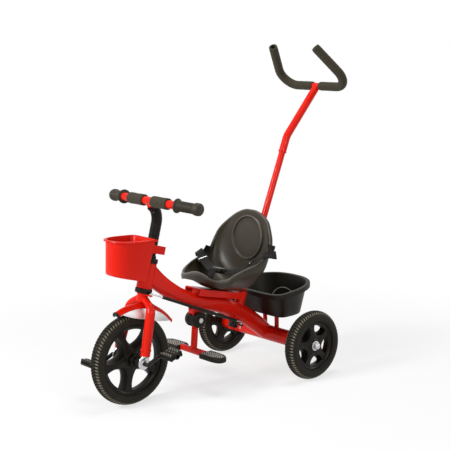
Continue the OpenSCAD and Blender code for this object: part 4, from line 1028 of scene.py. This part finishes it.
def grip():
    """Rubber grip: a round flange, a ribbed waist and a bulb at the end."""
    profile = [(BAR_R + 0.1, 0), (17.8, 0), (19.1, 0.8), (19.5, 2.2), (19.1, 4), (17, 5.4), (14.8, 8)]
    waist = GRIP_LEN - 24
    for z in (lerp(9, waist - 3, t) for t in steps(GRIP_RIBS - 1)):
        profile += [(14.2, z), (14.2, z + 1.7), (13.3, z + 2.2), (13.3, z + 3.4)]
    bulb = (
        (14.6, 2.2), (15.8, 4), (16.8, 8), (17, 12), (16.8, 17), (16, 20.4), (13.6, 23), (9, 24), (4, 23.6))
    return lathe(profile + [(r, waist + z) for r, z in bulb], 56)


make("stem_sleeved", stem(), STEERED, "front_fork", "black_paint", ["stem"])
make("handlebar_tube", handlebar(), HANDLEBAR, "front_fork", "red_paint", ["handlebar"])
foam = bar_sleeve().at(moved(SLEEVE_FROM, 0, 0) @ ALONG_X).both()
make("bar_foam_sleeves", foam, HANDLEBAR, "front_fork", "soft_foam", ["bar_foam"])
grip_turn = math.degrees(math.atan2(BAR_END[1], BAR_END[0] - BAR_CORNER))
grip_place = moved(*BAR_END, 0) @ turned(grip_turn, "Z") @ moved(-GRIP_ON_BAR, 0, 0) @ ALONG_X
for side, flip in SIDES:
    make(f"{side}_grip_ribbed", grip(), HANDLEBAR @ flip @ grip_place, "front_fork", "grip_rubber",
         [f"{side}_grip"])


# Baskets
def tub_point(form, t, a, drawn=0, drop=0):
    """Point of a tub's rounded wall at a share of its height and an angle, drawn in and down by distances."""
    low, high, powers = form
    half, start, end, split, z, tilt = (lerp(p, q, t) for p, q in zip(low, high))
    front = math.sin(a) < 0
    power = 2 / powers[0 if front else 1]
    reach = (split - start if front else end - split) - drawn
    y = split + reach * spow(math.sin(a), power)
    return Vector(((half - drawn) * spow(math.cos(a), power), y, z - drop + tilt * (y - split)))


def tub(form, sections):
    """Open tub. Each section is a share of the height, a distance in and a distance down."""
    rows = [[tub_point(form, t, a, drawn, drop) for a in around(96)] for t, drawn, drop in sections]
    return Shape().skin(rows, ends=True)


def tub_sections(wall, floor, edge, lip_w, lip_h, lip_t):
    """Sections from the floor's rounded edge up to the turned-down rim and down the inside."""
    ease = min(lip_t, 2) * 0.4
    outside = [(0, edge, 0), (0.01, edge * 0.4, 0), (0.035, edge * 0.1, 0), (0.07, 0, 0)]
    outside += [(lerp(0.07, 1, t), 0, lip_t * t) for t in steps(6)[1:]]
    rim = [(lip_t - lip_w, lip_t), (lip_t - lip_w, lip_h), (ease - lip_w, lip_h + ease / 2), (-lip_w, lip_h),
           (-lip_w, 2.5 * ease), (0.7 * ease - lip_w, 0.7 * ease), (2.5 * ease - lip_w, 0),
           (wall - 2 * ease, 0), (wall - 0.6 * ease, 0.6 * ease), (wall, 2 * ease)]
    inside = [(lerp(1, 0.1, t), wall, 0) for t in steps(6)[1:]]
    inside += [(0.06, wall + edge * 0.12, 0), (0.04, wall + edge * 0.5, 0), (floor, wall + edge, 0)]
    return outside + [(1, drawn, drop) for drawn, drop in rim] + inside


def wall_arch(form, t, a, radius, drawn):
    """Raised arch on the inside of a tub's wall, painted pale as a painted highlight along it."""
    wide = (tub_point(form, t, a + 0.05, drawn) - tub_point(form, t, a - 0.05, drawn)).length / 0.1
    tall = form[1][4] - form[0][4]
    path = []
    for turn in (math.pi * s for s in steps(32)):
        up = radius / tall * math.sin(turn)
        path.append(tub_point(form, t + up, a + radius / wide * math.cos(turn), drawn))
    return sweep(path, 1.8, 12).paint_pale(0.65)


# Half width, front, back, split between them, height and tilt at the floor and at the rim, and the powers
# that round the corners before and behind the split
FRONT_TUB = ((46, -122, -26, -56, 213.8, 0), (53, -142, -26, -56, 323.8, 0.21), (2.5, 6))
REAR_TUB = ((82, 482, 592, 532, 155, 0), (115, 437, 613, 497, 244, 0.08), (5, 2.4))
REAR_WALL = 3
ARCH_SHARE = 0.09
ARCH_ANGLE = 103
ARCH_R = 44
STRUT_R = 6.5
STRUT_X = 25
STRUT_BACK = 20

front_tub = tub(FRONT_TUB, tub_sections(wall=2.5, floor=0.027, edge=8, lip_w=5, lip_h=4, lip_t=2))
make("front_basket_moulded", front_tub, STEERED, "front_fork", "red_plastic", ["front_basket"])
rear_tub = tub(REAR_TUB, tub_sections(wall=REAR_WALL, floor=0.037, edge=14, lip_w=9, lip_h=13, lip_t=3))
rear_tub.join(wall_arch(REAR_TUB, ARCH_SHARE, math.radians(ARCH_ANGLE), ARCH_R, REAR_WALL))
make("rear_basket_moulded", rear_tub, TRIKE, "frame", "basket_plastic", ["rear_basket"])
keep("basket_clip", "red_plastic", 2)
keep("clip_screws", "bright_steel")

# Strut tubes under the rear basket, each with a welded plate at its top
strut_top = REAR_TUB[0][4] - 0.1
strut = rod(STRUT_R, REAR_R, strut_top - 2, 0.4, 32)
strut.join(rounded_box((26, 26, 3), 1), moved(0, 0, strut_top - 1.5))
strut.join(lathe([(6.4, -6), (8.6, -3.1), (6.4, -2.8)], 32), moved(0, 0, strut_top))
struts = strut.at(moved(STRUT_X, WHEELBASE + STRUT_BACK, 0)).both()
make("basket_strut_tubes", struts, TRIKE, "frame", "red_paint", ["basket_struts"])


# Main beam
def back_down(drop):
    """Direction that runs back and falls by an angle."""
    return Vector((0, *heading(-drop)))


HEAD_AT = Vector((0, 63.07, 344.94))
BEAM_HALF = 19
BEAM_TOP_RISE = 15
BEAM_LOW_RISE = 6
BEAM_POWER = 1 / 1.3
BEAM_END_DROP = 42
HEAD_DEPTH = 46
SEAT_DEPTH = 40
AXLE_DEPTH = 44
MID = Vector((0, *BEAM_MID))
AXLE = Vector((0, WHEELBASE, REAR_R))
BEAM_FRONT = (HEAD_AT, HEAD_AT + 80 * back_down(BEAM_END_DROP), MID - 80 * back_down(BEAM_DROP), MID)
BEAM_REAR = (MID, MID + 100 * back_down(BEAM_DROP), AXLE - 80 * back_down(BEAM_END_DROP), AXLE)


def beam_row(curve, t, above, below):
    """Rounded oblong section across the beam's curve, with its reach above the curve and below it."""
    ahead = bezier(curve, min(t + 0.01, 1)) - bezier(curve, max(t - 0.01, 0))
    down = ahead.normalized().cross(Vector((1, 0, 0)))
    row = []
    for a in around(48):
        reach = above if down.z * math.sin(a) > 0 else below
        middle = bezier(curve, t) + down * reach * spow(math.sin(a), BEAM_POWER)
        row.append(middle + Vector((BEAM_HALF * spow(math.cos(a), BEAM_POWER), 0, 0)))
    return row


def main_beam():
    """Curved beam, deep at the head tube, slim under the seat and deeper again at the handle."""
    rows = []
    for t in steps(32):
        half = lerp(HEAD_DEPTH, SEAT_DEPTH, t) / 2
        rise = (1 - t) ** 3
        rows.append(beam_row(BEAM_FRONT, t, half + BEAM_TOP_RISE * rise, half - BEAM_LOW_RISE * rise))
    for t in steps(28)[1:]:
        half = lerp(SEAT_DEPTH, AXLE_DEPTH, t) / 2 + 16 * t * (1 - t)
        rows.append(beam_row(BEAM_REAR, t, half, half))
    return Shape().skin(rows, ends=True)


make("main_beam_painted", main_beam(), TRIKE, "frame", "red_paint", ["main_beam"])

# Rear axle, along its own z until it is placed
AXLE_TUBE_R = 22.5
AXLE_TUBE_BORE = 20
AXLE_TUBE_HALF = 178
AXLE_R = 6
AXLE_HALF = 218.4
NUT_X = 205.4


def end_plug():
    """Plug in the end of the axle's tube, with a shallow recess round the axle."""
    return lathe([(6.1, -12), (19.9, -12), (19.9, -1), (18.6, -0.1), (10, -0.1), (9, -1.5), (6.1, -1.5)],
                 48, closed=True)


def cap_nut():
    """Washer, six flats and a domed cap."""
    nut = lathe([(6.1, 0), (13, 0), (14, 0.6), (14, 1.5), (13.2, 2), (6.1, 2)], 40, closed=True)
    nut.join(lathe([(10, 2), (11, 3), (11, 7), (9.6, 8.4)], 6))
    return nut.join(lathe([(9.5, 7.6), (9.2, 9.6), (7.6, 12), (4.6, 13.4), (1.5, 13.8)], 36))


axle_tube = pipe(AXLE_TUBE_R, AXLE_TUBE_BORE, -AXLE_TUBE_HALF, AXLE_TUBE_HALF, 0.8, 64).at(ALONG_X)
make("axle_tube_painted", axle_tube, REAR_AXLE, "frame", "red_paint", ["rear_axle_tube"])
plugs = end_plug().at(moved(AXLE_TUBE_HALF, 0, 0) @ ALONG_X).both()
make("axle_plug_rings", plugs, REAR_AXLE, "frame", "black_plastic", ["axle_end_plugs"])
axle = rod(AXLE_R, -AXLE_HALF, AXLE_HALF, 1.2, 32).at(ALONG_X)
make("axle_rod", axle, REAR_AXLE, "frame", "bright_steel", ["rear_axle"])
nuts = cap_nut().at(moved(NUT_X, 0, 0) @ ALONG_X).both()
make("axle_cap_nuts", nuts, REAR_AXLE, "frame", "bright_steel", ["axle_nuts"], crease=50)

# Socket of the push handle
SOCKET_LOW = -31
SOCKET_TOP = 60
socket = pipe(15, 11.5, SOCKET_LOW, SOCKET_TOP, 0.8, 56)
make("socket_tube", socket, POLED, "frame", "red_paint", ["handle_socket"])
bush = lathe([
    (9.6, -8), (11.4, -8), (11.4, 0), (15.2, 0), (16, 0.8), (16, 2.2), (14.6, 3), (9.6, 3)], 56, closed=True)
bushes = bush.at(moved(0, 0, SOCKET_TOP)).join(bush, moved(0, 0, SOCKET_LOW) @ turned(180, "X"))
make("socket_bush_rings", bushes, POLED, "frame", "black_plastic", ["socket_bushes"])

# Seat: a row is the middle's place back and height, the share of the width, and the rim's place and height
SEAT_ROWS = (
    (-56, 84, 0.72, -33, 76), (-46, 64, 0.8, -21, 87), (-20, 50, 0.86, 2, 103), (10, 46, 0.89, 21, 114),
    (39, 46, 0.925, 41, 124), (75, 48, 0.95, 65, 138), (97, 60, 0.965, 80, 158), (111, 94, 0.96, 87, 183),
    (114, 140, 0.91, 90, 204), (111, 190, 0.8, 94, 224), (106, 235, 0.62, 101, 248),
    (104, 257, 0.47, 102.5, 261), (103, 270, 0.29, 102.5, 271), (102.5, 276, 0.14, 102.5, 276))
SEAT_LAST = len(SEAT_ROWS) - 1
SEAT_HALF = 119
SEAT_T = 4
LEG_DIP = 8
LEG_ROWS = 2.2
CORNER_FROM = 0.45
CORNER_DEEP = 1.6
# The rim hangs as an apron round the pan, and turns back from this row up
BACK_FROM = 5
APRON = 24
PAN_ROLL = 7
BACK_ROLL = 5
BACK_HANG = 9
SEAM_IN = 0.6
SEAM_DOWN = 0.3
# How pale each point of the rim's section is painted, from the seam out: a painted highlight along the roll
RIM_GLINT = (0.02, 0.18, 0.34, 0.14, 0, 0)
PANEL_R = 65.5
PANEL_Z = 200.6
PANEL_LOW_ROW = 6
# Share of the panel's radius, height over the seat, and how far it is painted pale: a slightly paler panel,
# and a painted highlight along the raised ring
PANEL_ROWS = (
    (0.04, 3, 0.03), (0.35, 3, 0.03), (0.62, 2.6, 0.03), (0.82, 1.4, 0), (0.87, 1.6, 0), (0.9, 4.6, 0.04),
    (0.93, 6, 0.12), (0.96, 5.6, 0.2), (0.99, 2.4, 0.06), (1, 0.4, 0), (0.6, 0.4, 0))


def front_row(v):
    """Row at which the seat starts, with its front corners rounded off."""
    into = max(0, (abs(v) - CORNER_FROM) / (1 - CORNER_FROM))
    return CORNER_DEEP * (1 - math.sqrt(max(0, 1 - into * into)))


def leg_dip(u, v):
    """Depth of the hollow for each leg at the front edge."""
    return LEG_DIP * math.sin(math.pi * v) ** 2 * max(0, 1 - u / LEG_ROWS) ** 2


def seat_point(u, v):
    """Point of the seat's upper face: u runs from the front edge up the back, v from rim to rim."""
    mid_y, mid_z, share, rim_y, rim_z = catmull(SEAT_ROWS, u)
    x = SEAT_HALF * share * math.sin(math.pi / 2 * v)
    rise = 1 - math.cos(math.pi / 2 * v)
    return Vector((x, lerp(mid_y, rim_y, rise), lerp(mid_z, rim_z, rise) - leg_dip(u, v)))


def seat_under(u, v, depth):
    """Point that far under the seat's upper face, square to its slope a little inside the rim."""
    e = 0.03
    along = seat_point(min(u + e, SEAT_LAST), v) - seat_point(max(u - e, 0), v)
    inner = 0.9 * v
    across = seat_point(u, inner + e) - seat_point(u, inner - e)
    return seat_point(u, v) + depth * along.cross(across).normalized()


def rolled_edge(u, v, ahead):
    """Section of the rim: it rolls out, then hangs round the pan or turns back behind the backrest."""
    here = seat_point(u, v)
    behind = (seat_under(u, v, 1) - here).normalized()
    leaving = behind.cross(ahead).normalized()
    level = Vector((leaving.x, leaving.y, 0)).normalized()
    back = smooth((u - BACK_FROM) / 2)
    out = level.lerp(leaving, back).normalized() * lerp(PAN_ROLL, BACK_ROLL, back)
    hang = lerp(APRON - leg_dip(u, v), BACK_HANG, smooth(u / BACK_FROM))
    down = (-UP).lerp(behind, back).normalized() * hang
    seam = -SEAM_IN * leaving
    outer = [
        here + SEAM_DOWN * behind + seam, here + 3 * leaving + 0.2 * out, here + 0.75 * out + 1.5 * leaving,
        here + out + 0.16 * down, here + 1.1 * out + 0.5 * down, here + 0.7 * out + down]
    inner = [point - 0.4 * out + 0.05 * down for point in outer[:1:-1]]
    return outer + inner + [seat_under(u, v, SEAT_T - SEAM_DOWN) + seam]


def seat_rim(vs, count):
    """Rolled rim all round the seat's edge, with a painted highlight along the top of its roll."""
    side_us = [lerp(CORNER_DEEP, SEAT_LAST, t) for t in steps(count)]
    edge = [(u, 1) for u in side_us] + [(SEAT_LAST, v) for v in vs[-2:0:-1]]
    edge += [(u, -1) for u in side_us[::-1]] + [(front_row(v), v) for v in vs[1:-1]]
    loop = [seat_point(u, v) for u, v in edge]
    ahead = [after - before for before, after in zip(loop[-1:] + loop, loop[1:] + loop[:1])]
    sections = [rolled_edge(u, v, way) for (u, v), way in zip(edge, ahead)]
    rim = Shape().skin(sections, along=True)
    rim.glint_and_pale = [*RIM_GLINT, *[0] * (len(sections[0]) - len(RIM_GLINT))] * len(sections)
    return rim


def seat_shell():
    """Bucket with a rolled rim."""
    vs = [math.sin(math.pi / 2 * (2 * t - 1)) for t in steps(56)]
    count = 91
    rows = []
    for t in steps(count):
        row = [(lerp(front_row(v), SEAT_LAST, t), v) for v in vs]
        rows.append([seat_point(u, v) for u, v in row] + [seat_under(u, v, SEAT_T) for u, v in row[::-1]])
    return Shape().skin(rows, ends=True).join(seat_rim(vs, count))


def seat_row_at(x, z):
    """Row and share across of the seat's back at a place across it and a height, found by halving."""
    low = PANEL_LOW_ROW
    high = SEAT_LAST
    for _ in range(30):
        u = (low + high) / 2
        share = x / (SEAT_HALF * catmull(SEAT_ROWS, u)[2])
        v = math.asin(max(-1, min(1, share))) * 2 / math.pi
        if seat_point(u, v).z < z:
            low = u
        else:
            high = u
    return u, v


def seat_panel():
    """Round panel on the backrest with a raised ring round it, painted pale along the ring as a painted
    highlight.
    """
    rows = []
    marks = []
    for share, rise, tone in PANEL_ROWS:
        reach = PANEL_R * share
        places = [seat_row_at(reach * math.cos(a), PANEL_Z + reach * math.sin(a)) for a in around(72)]
        rows.append([seat_under(u, v, -rise) for u, v in places])
        marks += [tone] * len(places)
    panel = Shape().skin(rows, ends=True)
    panel.glint_and_pale = marks
    return panel


make("seat_shell_moulded", seat_shell(), SEATED, "frame", "seat_plastic", ["seat_shell"])
make("seat_panel_round", seat_panel(), SEATED, "frame", "seat_plastic", ["seat_back_panel"])
keep("seat_plate", "red_paint", 1)
keep("seat_bolts", "bright_steel", 0.8)

# Harness, in the seat's frame. The right half's routes are drawn as if they were on the left
STRAP_HALF = 12.5
STRAP_T = 2
STRAP_EDGE = 0.4
STRAP_SHARES = (-1, -0.92, -0.5, 0, 0.5, 0.92, 1)
LAP_ACROSS = Vector((0, 0.8, 0.6))
BUCKLE_AT = (0, 18, 96)
LEFT_ROUTE = (
    (141, 95, 167), (133, 79, 165), (117, 63, 160), (97.2, 53, 140), (69, 39, 112), (43, 25, 99),
    (28, 18, 96))
LEFT_TAIL = ((117, 84, 160), (121, 88, 170), (123, 89, 180), (121, 90, 192))
RIGHT_ROUTE = (
    (130, 46, 126), (126, 38, 137), (112, 34, 134), (98, 32, 122), (69, 30, 106), (43, 24, 98), (28, 18, 96))
RIGHT_TAIL = ((108, 52, 124), (111, 56, 134), (112, 58, 144), (110, 60, 156))
CROTCH_ROUTE = ((0, -20, 52), (0, -14, 61), (0, -10, 80), (0, -2, 96))
ADJUSTER_AT = 3.2


def strap_frame(route, across, u):
    """Place on a strap: x across it and y along it."""
    last = len(route) - 1
    along = (catmull(route, min(u + 0.05, last)) - catmull(route, max(u - 0.05, 0))).normalized()
    side = (across - along * across.dot(along)).normalized()
    turn = Matrix((side, along, side.cross(along))).transposed().to_4x4()
    return Matrix.Translation(catmull(route, u)) @ turn


def strap_face(shares, way):
    """One face of a strap's section, thin at both edges."""
    return [Vector((s * STRAP_HALF, 0, way * (STRAP_T / 2 if abs(s) < 1 else STRAP_EDGE))) for s in shares]


def strap(route, across):
    """Flat webbing along a route, with the places of its points in the weave."""
    section = strap_face(STRAP_SHARES, -1) + strap_face(STRAP_SHARES[::-1], 1)
    rows = []
    weave = []
    length = 0
    last = len(route) - 1
    before = catmull(route, 0)
    for t in steps(12 * last):
        spot = strap_frame(route, across, last * t)
        length += (spot.to_translation() - before).length
        before = spot.to_translation()
        rows.append([spot @ point for point in section])
        weave += [(point.x, length) for point in section]
    return Shape().skin(rows, ends=True), weave


def strap_adjuster(spot):
    """Open frame round the webbing, and the bright pin that holds it."""
    loop = Shape()
    for y in (-8, 8):
        loop.join(rounded_box((32, 4, 4), 1.4), spot @ moved(0, y, 0))
    for x in (-15, 15):
        loop.join(rounded_box((4, 20, 4), 1.4), spot @ moved(x, 0, 0))
    return loop, rounded_box((28, 3.4, 2.6), 1).at(spot @ moved(0, 0, 2.2))


def lap_strap(side, place, route, tail_route):
    """Half of the lap belt: the webbing, its loose tail and its adjuster."""
    belt, weave = strap(route, LAP_ACROSS)
    make(f"{side}_lap_webbing", belt, place, "frame", "webbing", [f"{side}_lap_strap"], weave=weave)
    tail, weave = strap(tail_route, LAP_ACROSS)
    make(f"{side}_strap_tail", tail, place, "frame", "webbing", weave=weave)
    loop, pin = strap_adjuster(strap_frame(route, LAP_ACROSS, ADJUSTER_AT))
    make(f"{side}_strap_adjuster", loop, place, "frame", "black_plastic")
    make(f"{side}_adjuster_pin", pin, place, "frame", "bright_steel")


def buckle():
    """Thick plate with a mouth for each strap and four grip lines painted pale as painted highlights."""
    shape = rounded_box((46, 38, 14), 5, 5)
    for x in (21, -21):
        shape.join(rounded_box((16, 12, 9), 2.5), moved(x, 0, 0))
    shape.join(rounded_box((30, 9, 9), 2.5), moved(0, -18, 0))
    for y in (-9, -3, 3, 9):
        shape.join(rounded_box((34, 2, 2), 0.8).paint_pale(0.6), moved(0, y, 7.2))
    return shape


lap_strap("left", SEATED, LEFT_ROUTE, LEFT_TAIL)
lap_strap("right", SEATED @ MIRROR, RIGHT_ROUTE, RIGHT_TAIL)
crotch, crotch_weave = strap(CROTCH_ROUTE, Vector((1, 0, 0)))
make("crotch_webbing", crotch, SEATED, "frame", "webbing", ["crotch_strap"], weave=crotch_weave)
make("buckle_moulded", buckle(), SEATED @ moved(*BUCKLE_AT), "frame", "black_plastic", ["buckle"])

# Push handle
LOWER_FROM = -52.4
LOWER_TO = 522.8
LOWER_R = 9.5
UPPER_R = 11.2
UPPER_FROM = 482.8
BEND_AT = 533
HANDLE_BEND_R = 60
PUSH_BEND_R = 45
PUSH_BORE = 7.7
PUSH_FOAM_R = 13.5
PUSH_BARE = 14
PUSH_CORNER = Vector((145.48, 0, 0))
PUSH_END = Vector((87.97, 0, 149.8))


def upper_tube():
    """Tube that slides over the lower one, bends back and carries the push bar."""
    path = bent([(0, 0, UPPER_FROM), (0, 0, BEND_AT), (0, *PUSH_AT)], HANDLE_BEND_R, 16)
    collar = pipe(UPPER_R + 1.2, UPPER_R - 0.3, UPPER_FROM, UPPER_FROM + 5, 1)
    return sweep(path, UPPER_R, 40, bore=LOWER_R + 0.1).join(collar)


def push_bar():
    """Open bar whose two arms lean in toward each other."""
    corners = [MIRROR @ PUSH_END, MIRROR @ PUSH_CORNER, PUSH_CORNER, PUSH_END]
    return sweep(bent(corners, PUSH_BEND_R, 20), LOWER_R, 36, bore=PUSH_BORE + 0.6)


def push_foam():
    """Foam sleeve along one half of the push bar, creased a little, with a lip that lines the bar's end."""
    path = resampled(bent([(PUSH_BARE, 0, 0), PUSH_CORNER, PUSH_END], PUSH_BEND_R, 20), 2.5)
    count = len(path)
    radii = []
    for k in range(count):
        from_end = min(k, count - 1 - k)
        crease = 0.5 * math.sin(k * 1.7) * math.sin(k * 0.37)
        radii.append(PUSH_FOAM_R - 0.3 + 0.5 * crease - (1.6, 0.5, 0.1)[min(from_end, 2)])
    lining = PUSH_BORE + 0.5
    lip = lathe([
        (PUSH_BORE, -30), (lining, -30), (lining, 0), (12.4, 0), (12.6, 0.9), (11.6, 1.8), (PUSH_BORE, 2)],
        40, closed=True)
    lean = math.degrees(math.atan2(PUSH_END.x - PUSH_CORNER.x, PUSH_END.z))
    return sweep(path, radii, 40, bore=LOWER_R + 0.1).join(lip, moved(*PUSH_END) @ turned(lean, "Y"))


lower_tube = pipe(LOWER_R, PUSH_BORE, LOWER_FROM, LOWER_TO, 0.5)
make("handle_lower_painted", lower_tube, POLED, "push_handle", "red_paint", ["handle_lower_tube"])
make("handle_upper_painted", upper_tube(), POLED, "push_handle", "red_paint", ["handle_upper_tube"])
make("push_bar_tube", push_bar(), PUSH_BAR, "push_handle", "red_paint", ["push_bar"])
for side, flip in SIDES:
    foam = make(f"{side}_push_foam", push_foam(), PUSH_BAR @ flip, "push_handle", "soft_foam",
                [f"{side}_push_grip"])
keep("handle_lever", "black_paint", 0.8)

# Steering rod, hooked at both ends
ROD_X = 32
ROD_R = 2.5
ROD_BEND = 4
ROD_FRONT = Vector((ROD_X, 50.965, 302.737))
ROD_REAR = Vector((ROD_X, 372.227, 159.391))
FRONT_HOOK = 12.5
REAR_HOOK = 19.5

front_hook = ROD_FRONT - turned(-HEAD_LEAN, "X") @ UP * FRONT_HOOK
rear_hook = ROD_REAR - turned(-HANDLE_LEAN, "X") @ UP * REAR_HOOK
wire = sweep(bent([front_hook, ROD_FRONT, ROD_REAR, rear_hook], ROD_BEND), ROD_R, 20)
make("rod_wire_bent", wire, TRIKE, "steering_rod", "bright_steel", ["rod_wire"])
sleeve_path = points_along(ROD_FRONT, (ROD_REAR - ROD_FRONT).normalized(), (44, 44.8, 46, 328, 329, 329.8))
rod_sleeve = sweep(sleeve_path, [3.6, 4.3, 4.5, 4.5, 4.3, 3.6], 24)
make("rod_sleeve_tube", rod_sleeve, TRIKE, "steering_rod", "black_plastic", ["rod_sleeve"])

# Footrest
POST_LEN = 90
POST_R = 9.5
EYE_R = 15
EYE_HALF = 7.5
CROSS_HALF = 50
FOOT_AT = (0, -9.408, -89.507)
PAD_W = 80
PAD_HALF = 22
PAD_H = 17
PAD_ROUND = 0.55
PAD_POWER = 2.6
PAD_STUD_COLS = 9
COL_PITCH = 8
ROW_PITCH = 7.5


def pad_outline(length, drawn):
    """Outline of a foot pad with a round outer end, drawn in by a distance."""
    edge = []
    for t in steps(24):
        x = (length - drawn) * math.sin(math.pi / 2 * t)
        into = max(0, x / (length - drawn) - 1 + PAD_ROUND) / PAD_ROUND
        edge.append((max(x, drawn), (PAD_HALF - drawn) * (1 - into ** PAD_POWER) ** (1 / PAD_POWER)))
    return [(x, -y) for x, y in edge] + edge[-2::-1]


def foot_pad():
    """Shoe-shaped pad with a raised edge and rows of small studs on its top."""
    top = PAD_H / 2 - 3
    base = slab(pad_outline, PAD_W, -PAD_H / 2, top, 3)
    base.join(bead([Vector((*point, top)) for point in pad_outline(PAD_W, 2.6)], 2))
    # The studs are painted pale
    stud = lathe([(2.3, 0), (2.1, 1.6), (1.5, 2.6), (0.7, 2.8)], 12).paint_pale(0.9)
    for x in (7 + COL_PITCH * col for col in range(PAD_STUD_COLS)):
        reach = max(y for px, y in pad_outline(PAD_W, 6) if px >= x - 3)
        for y in (ROW_PITCH * row for row in range(-2, 3)):
            if abs(y) <= reach:
                base.join(stud, moved(x, y, top - 0.1))
    return base


def footrest_post():
    """Leaning post with an eye at the hinge and a cross tube at its foot."""
    path = points_along(ORIGIN, UP, (-POST_LEN, -18, -10, 0))
    shape = sweep(path, [POST_R, POST_R, 7.4, 7], 36).at(turned(-POST_LEAN, "X"))
    shape.join(rod(EYE_R, -EYE_HALF, EYE_HALF, 1, 40), ALONG_X)
    return shape.join(rod(POST_R, -CROSS_HALF, CROSS_HALF, 0.6, 36), moved(*FOOT_AT) @ ALONG_X)


def hinge_cover():
    """Round cover beside the eye, with a raised rim and a boss round the bolt."""
    return lathe([
        (16, 7.8), (20.5, 7.8), (22, 9), (22, 19), (21, 21.2), (18, 22.6), (16.6, 22), (10, 22), (9, 22.8),
        (4.1, 22.8), (4.1, 11), (16, 11)], 56, closed=True)


def hinge_barrel():
    """Ring round the eye between the covers, with a groove round its middle."""
    half = [(EYE_R, 7.4), (19, 7.4), (20, 6.4), (20, 1)]
    return lathe([(r, -z) for r, z in half] + [(19.2, 0)] + half[::-1], 56, closed=True)


make("footrest_post_welded", footrest_post(), AT_HINGE, "footrest", "red_paint", ["footrest_post"])
for side, flip in SIDES:
    pad_place = AT_HINGE @ moved(*FOOT_AT) @ flip @ moved(CROSS_HALF + 0.1, 0, 0)
    make(f"{side}_pad_studded", foot_pad(), pad_place, "footrest", "black_plastic", [f"{side}_foot_pad"])
covers = hinge_cover().at(ALONG_X).both()
make("hinge_cover_discs", covers, AT_HINGE, "frame", "black_plastic", ["hinge_covers"])
make("hinge_barrel", hinge_barrel().at(ALONG_X), AT_HINGE, "footrest", "black_plastic")
keep("hinge_bolt", "bright_steel", 0.8)
keep("footrest_bracket", "red_paint", 1)

# Camera at the photograph's place, lights, world and floor, in metres
CAMERA_AT = Vector((2.36055, -1.98273, 1.02386))
CAMERA_YAW = -49.389
CAMERA_PITCH = -10.575
CAMERA_ROLL = -1.377
LENS = 89.3
SENSOR = 36
WHITE = (1, 1, 1, 1)
AMBIENT = 0.22
FLOOR_HALF = 12
FLOOR_FADE = (0.55, 1.3)
FLOOR_WHITE = 0.7
LIT_AT = Vector((0, 0, 0.35))
# Name, place, watts and size
LIGHTS = (
    ("key_light", (-0.5, -2.7, 1.9), 80, 0.8), ("fill_light", (2.9, -0.6, 1.5), 17, 0.8),
    ("top_light", (0.2, 0.2, 3), 30, 1), ("back_light", (1.2, 2.6, 1.6), 14, 0.8))


def photo_camera():
    """Camera that looks as the photograph's did: a turn from +Y, a tilt and a slight roll."""
    level_share, rise = heading(CAMERA_PITCH)
    forward, aside = heading(CAMERA_YAW)
    ahead = Vector((level_share * aside, level_share * forward, rise))
    level = ahead.cross(UP).normalized()
    above = level.cross(ahead)
    c, s = heading(CAMERA_ROLL)
    axes = Matrix((c * level + s * above, c * above - s * level, -ahead)).transposed().to_4x4()
    data = bpy.data.cameras.new("photo_camera")
    data.lens = LENS
    data.sensor_width = SENSOR
    camera = in_scene("photo_camera", data)
    camera.matrix_world = Matrix.Translation(CAMERA_AT) @ axes
    bpy.context.scene.camera = camera


def area_light(name, at, watts, size):
    """Soft square light that faces the middle of the trike."""
    data = bpy.data.lights.new(name, "AREA")
    data.energy = watts
    data.size = size
    light = in_scene(name, data)
    light.location = at
    light.rotation_euler = (LIT_AT - Vector(at)).to_track_quat("-Z", "Y").to_euler()


def seen_rays(f):
    """1 for rays from the camera, off bright metal or through glass, that meet the backdrop."""
    camera = f.add("LightPath", output="Is Camera Ray")
    glossy = f.add("LightPath", output="Is Glossy Ray")
    clear = f.add("LightPath", output="Is Transmission Ray")
    return camera.maths("MAXIMUM", camera, glossy.maths("MAXIMUM", glossy, clear))


def white_world():
    """Even light from all round, seen as plain white."""
    world = bpy.data.worlds.new("studio")
    bpy.context.scene.world = world
    f = Finish(world)
    ambient = f.add("Background", inputs={"Color": WHITE, "Strength": AMBIENT})
    white = f.add("Background", inputs={"Color": WHITE, "Strength": 1.0})
    both = f.add("MixShader", inputs={0: seen_rays(f), 1: ambient, 2: white})
    f.add("OutputWorld", inputs={"Surface": both}, output=None)


def pale_floor():
    """Floor that keeps the shadow near the trike and fades to plain white round it."""
    mesh = bpy.data.meshes.new("floor")
    corners = [(x * FLOOR_HALF, y * FLOOR_HALF, 0) for x, y in ((-1, -1), (1, -1), (1, 1), (-1, 1))]
    mesh.from_pydata(corners, [], [(0, 1, 2, 3)])
    f = material("pale_floor")
    away = f.add("VectorMath", {"operation": "LENGTH"}, {0: f.place()}, output=1)
    far = f.band(away, *FLOOR_FADE)
    paint = f.mix(f.noise(3), (0.9, 0.9, 0.9, 1), (0.92, 0.92, 0.92, 1))
    lit = f.add("BsdfDiffuse", inputs={"Color": paint})
    white = f.add("Emission", inputs={"Color": WHITE, "Strength": 1.0})
    shown = seen_rays(f) * (FLOOR_WHITE + (1 - FLOOR_WHITE) * far)
    both = f.add("MixShader", inputs={0: shown, 1: lit, 2: white})
    f.add("OutputMaterial", inputs={"Surface": both}, output=None)
    mesh.materials.append(f.owner)
    in_scene("floor", mesh)


photo_camera()
white_world()
pale_floor()
for light in LIGHTS:
    area_light(*light)
bpy.context.scene.view_settings.view_transform = "Standard"
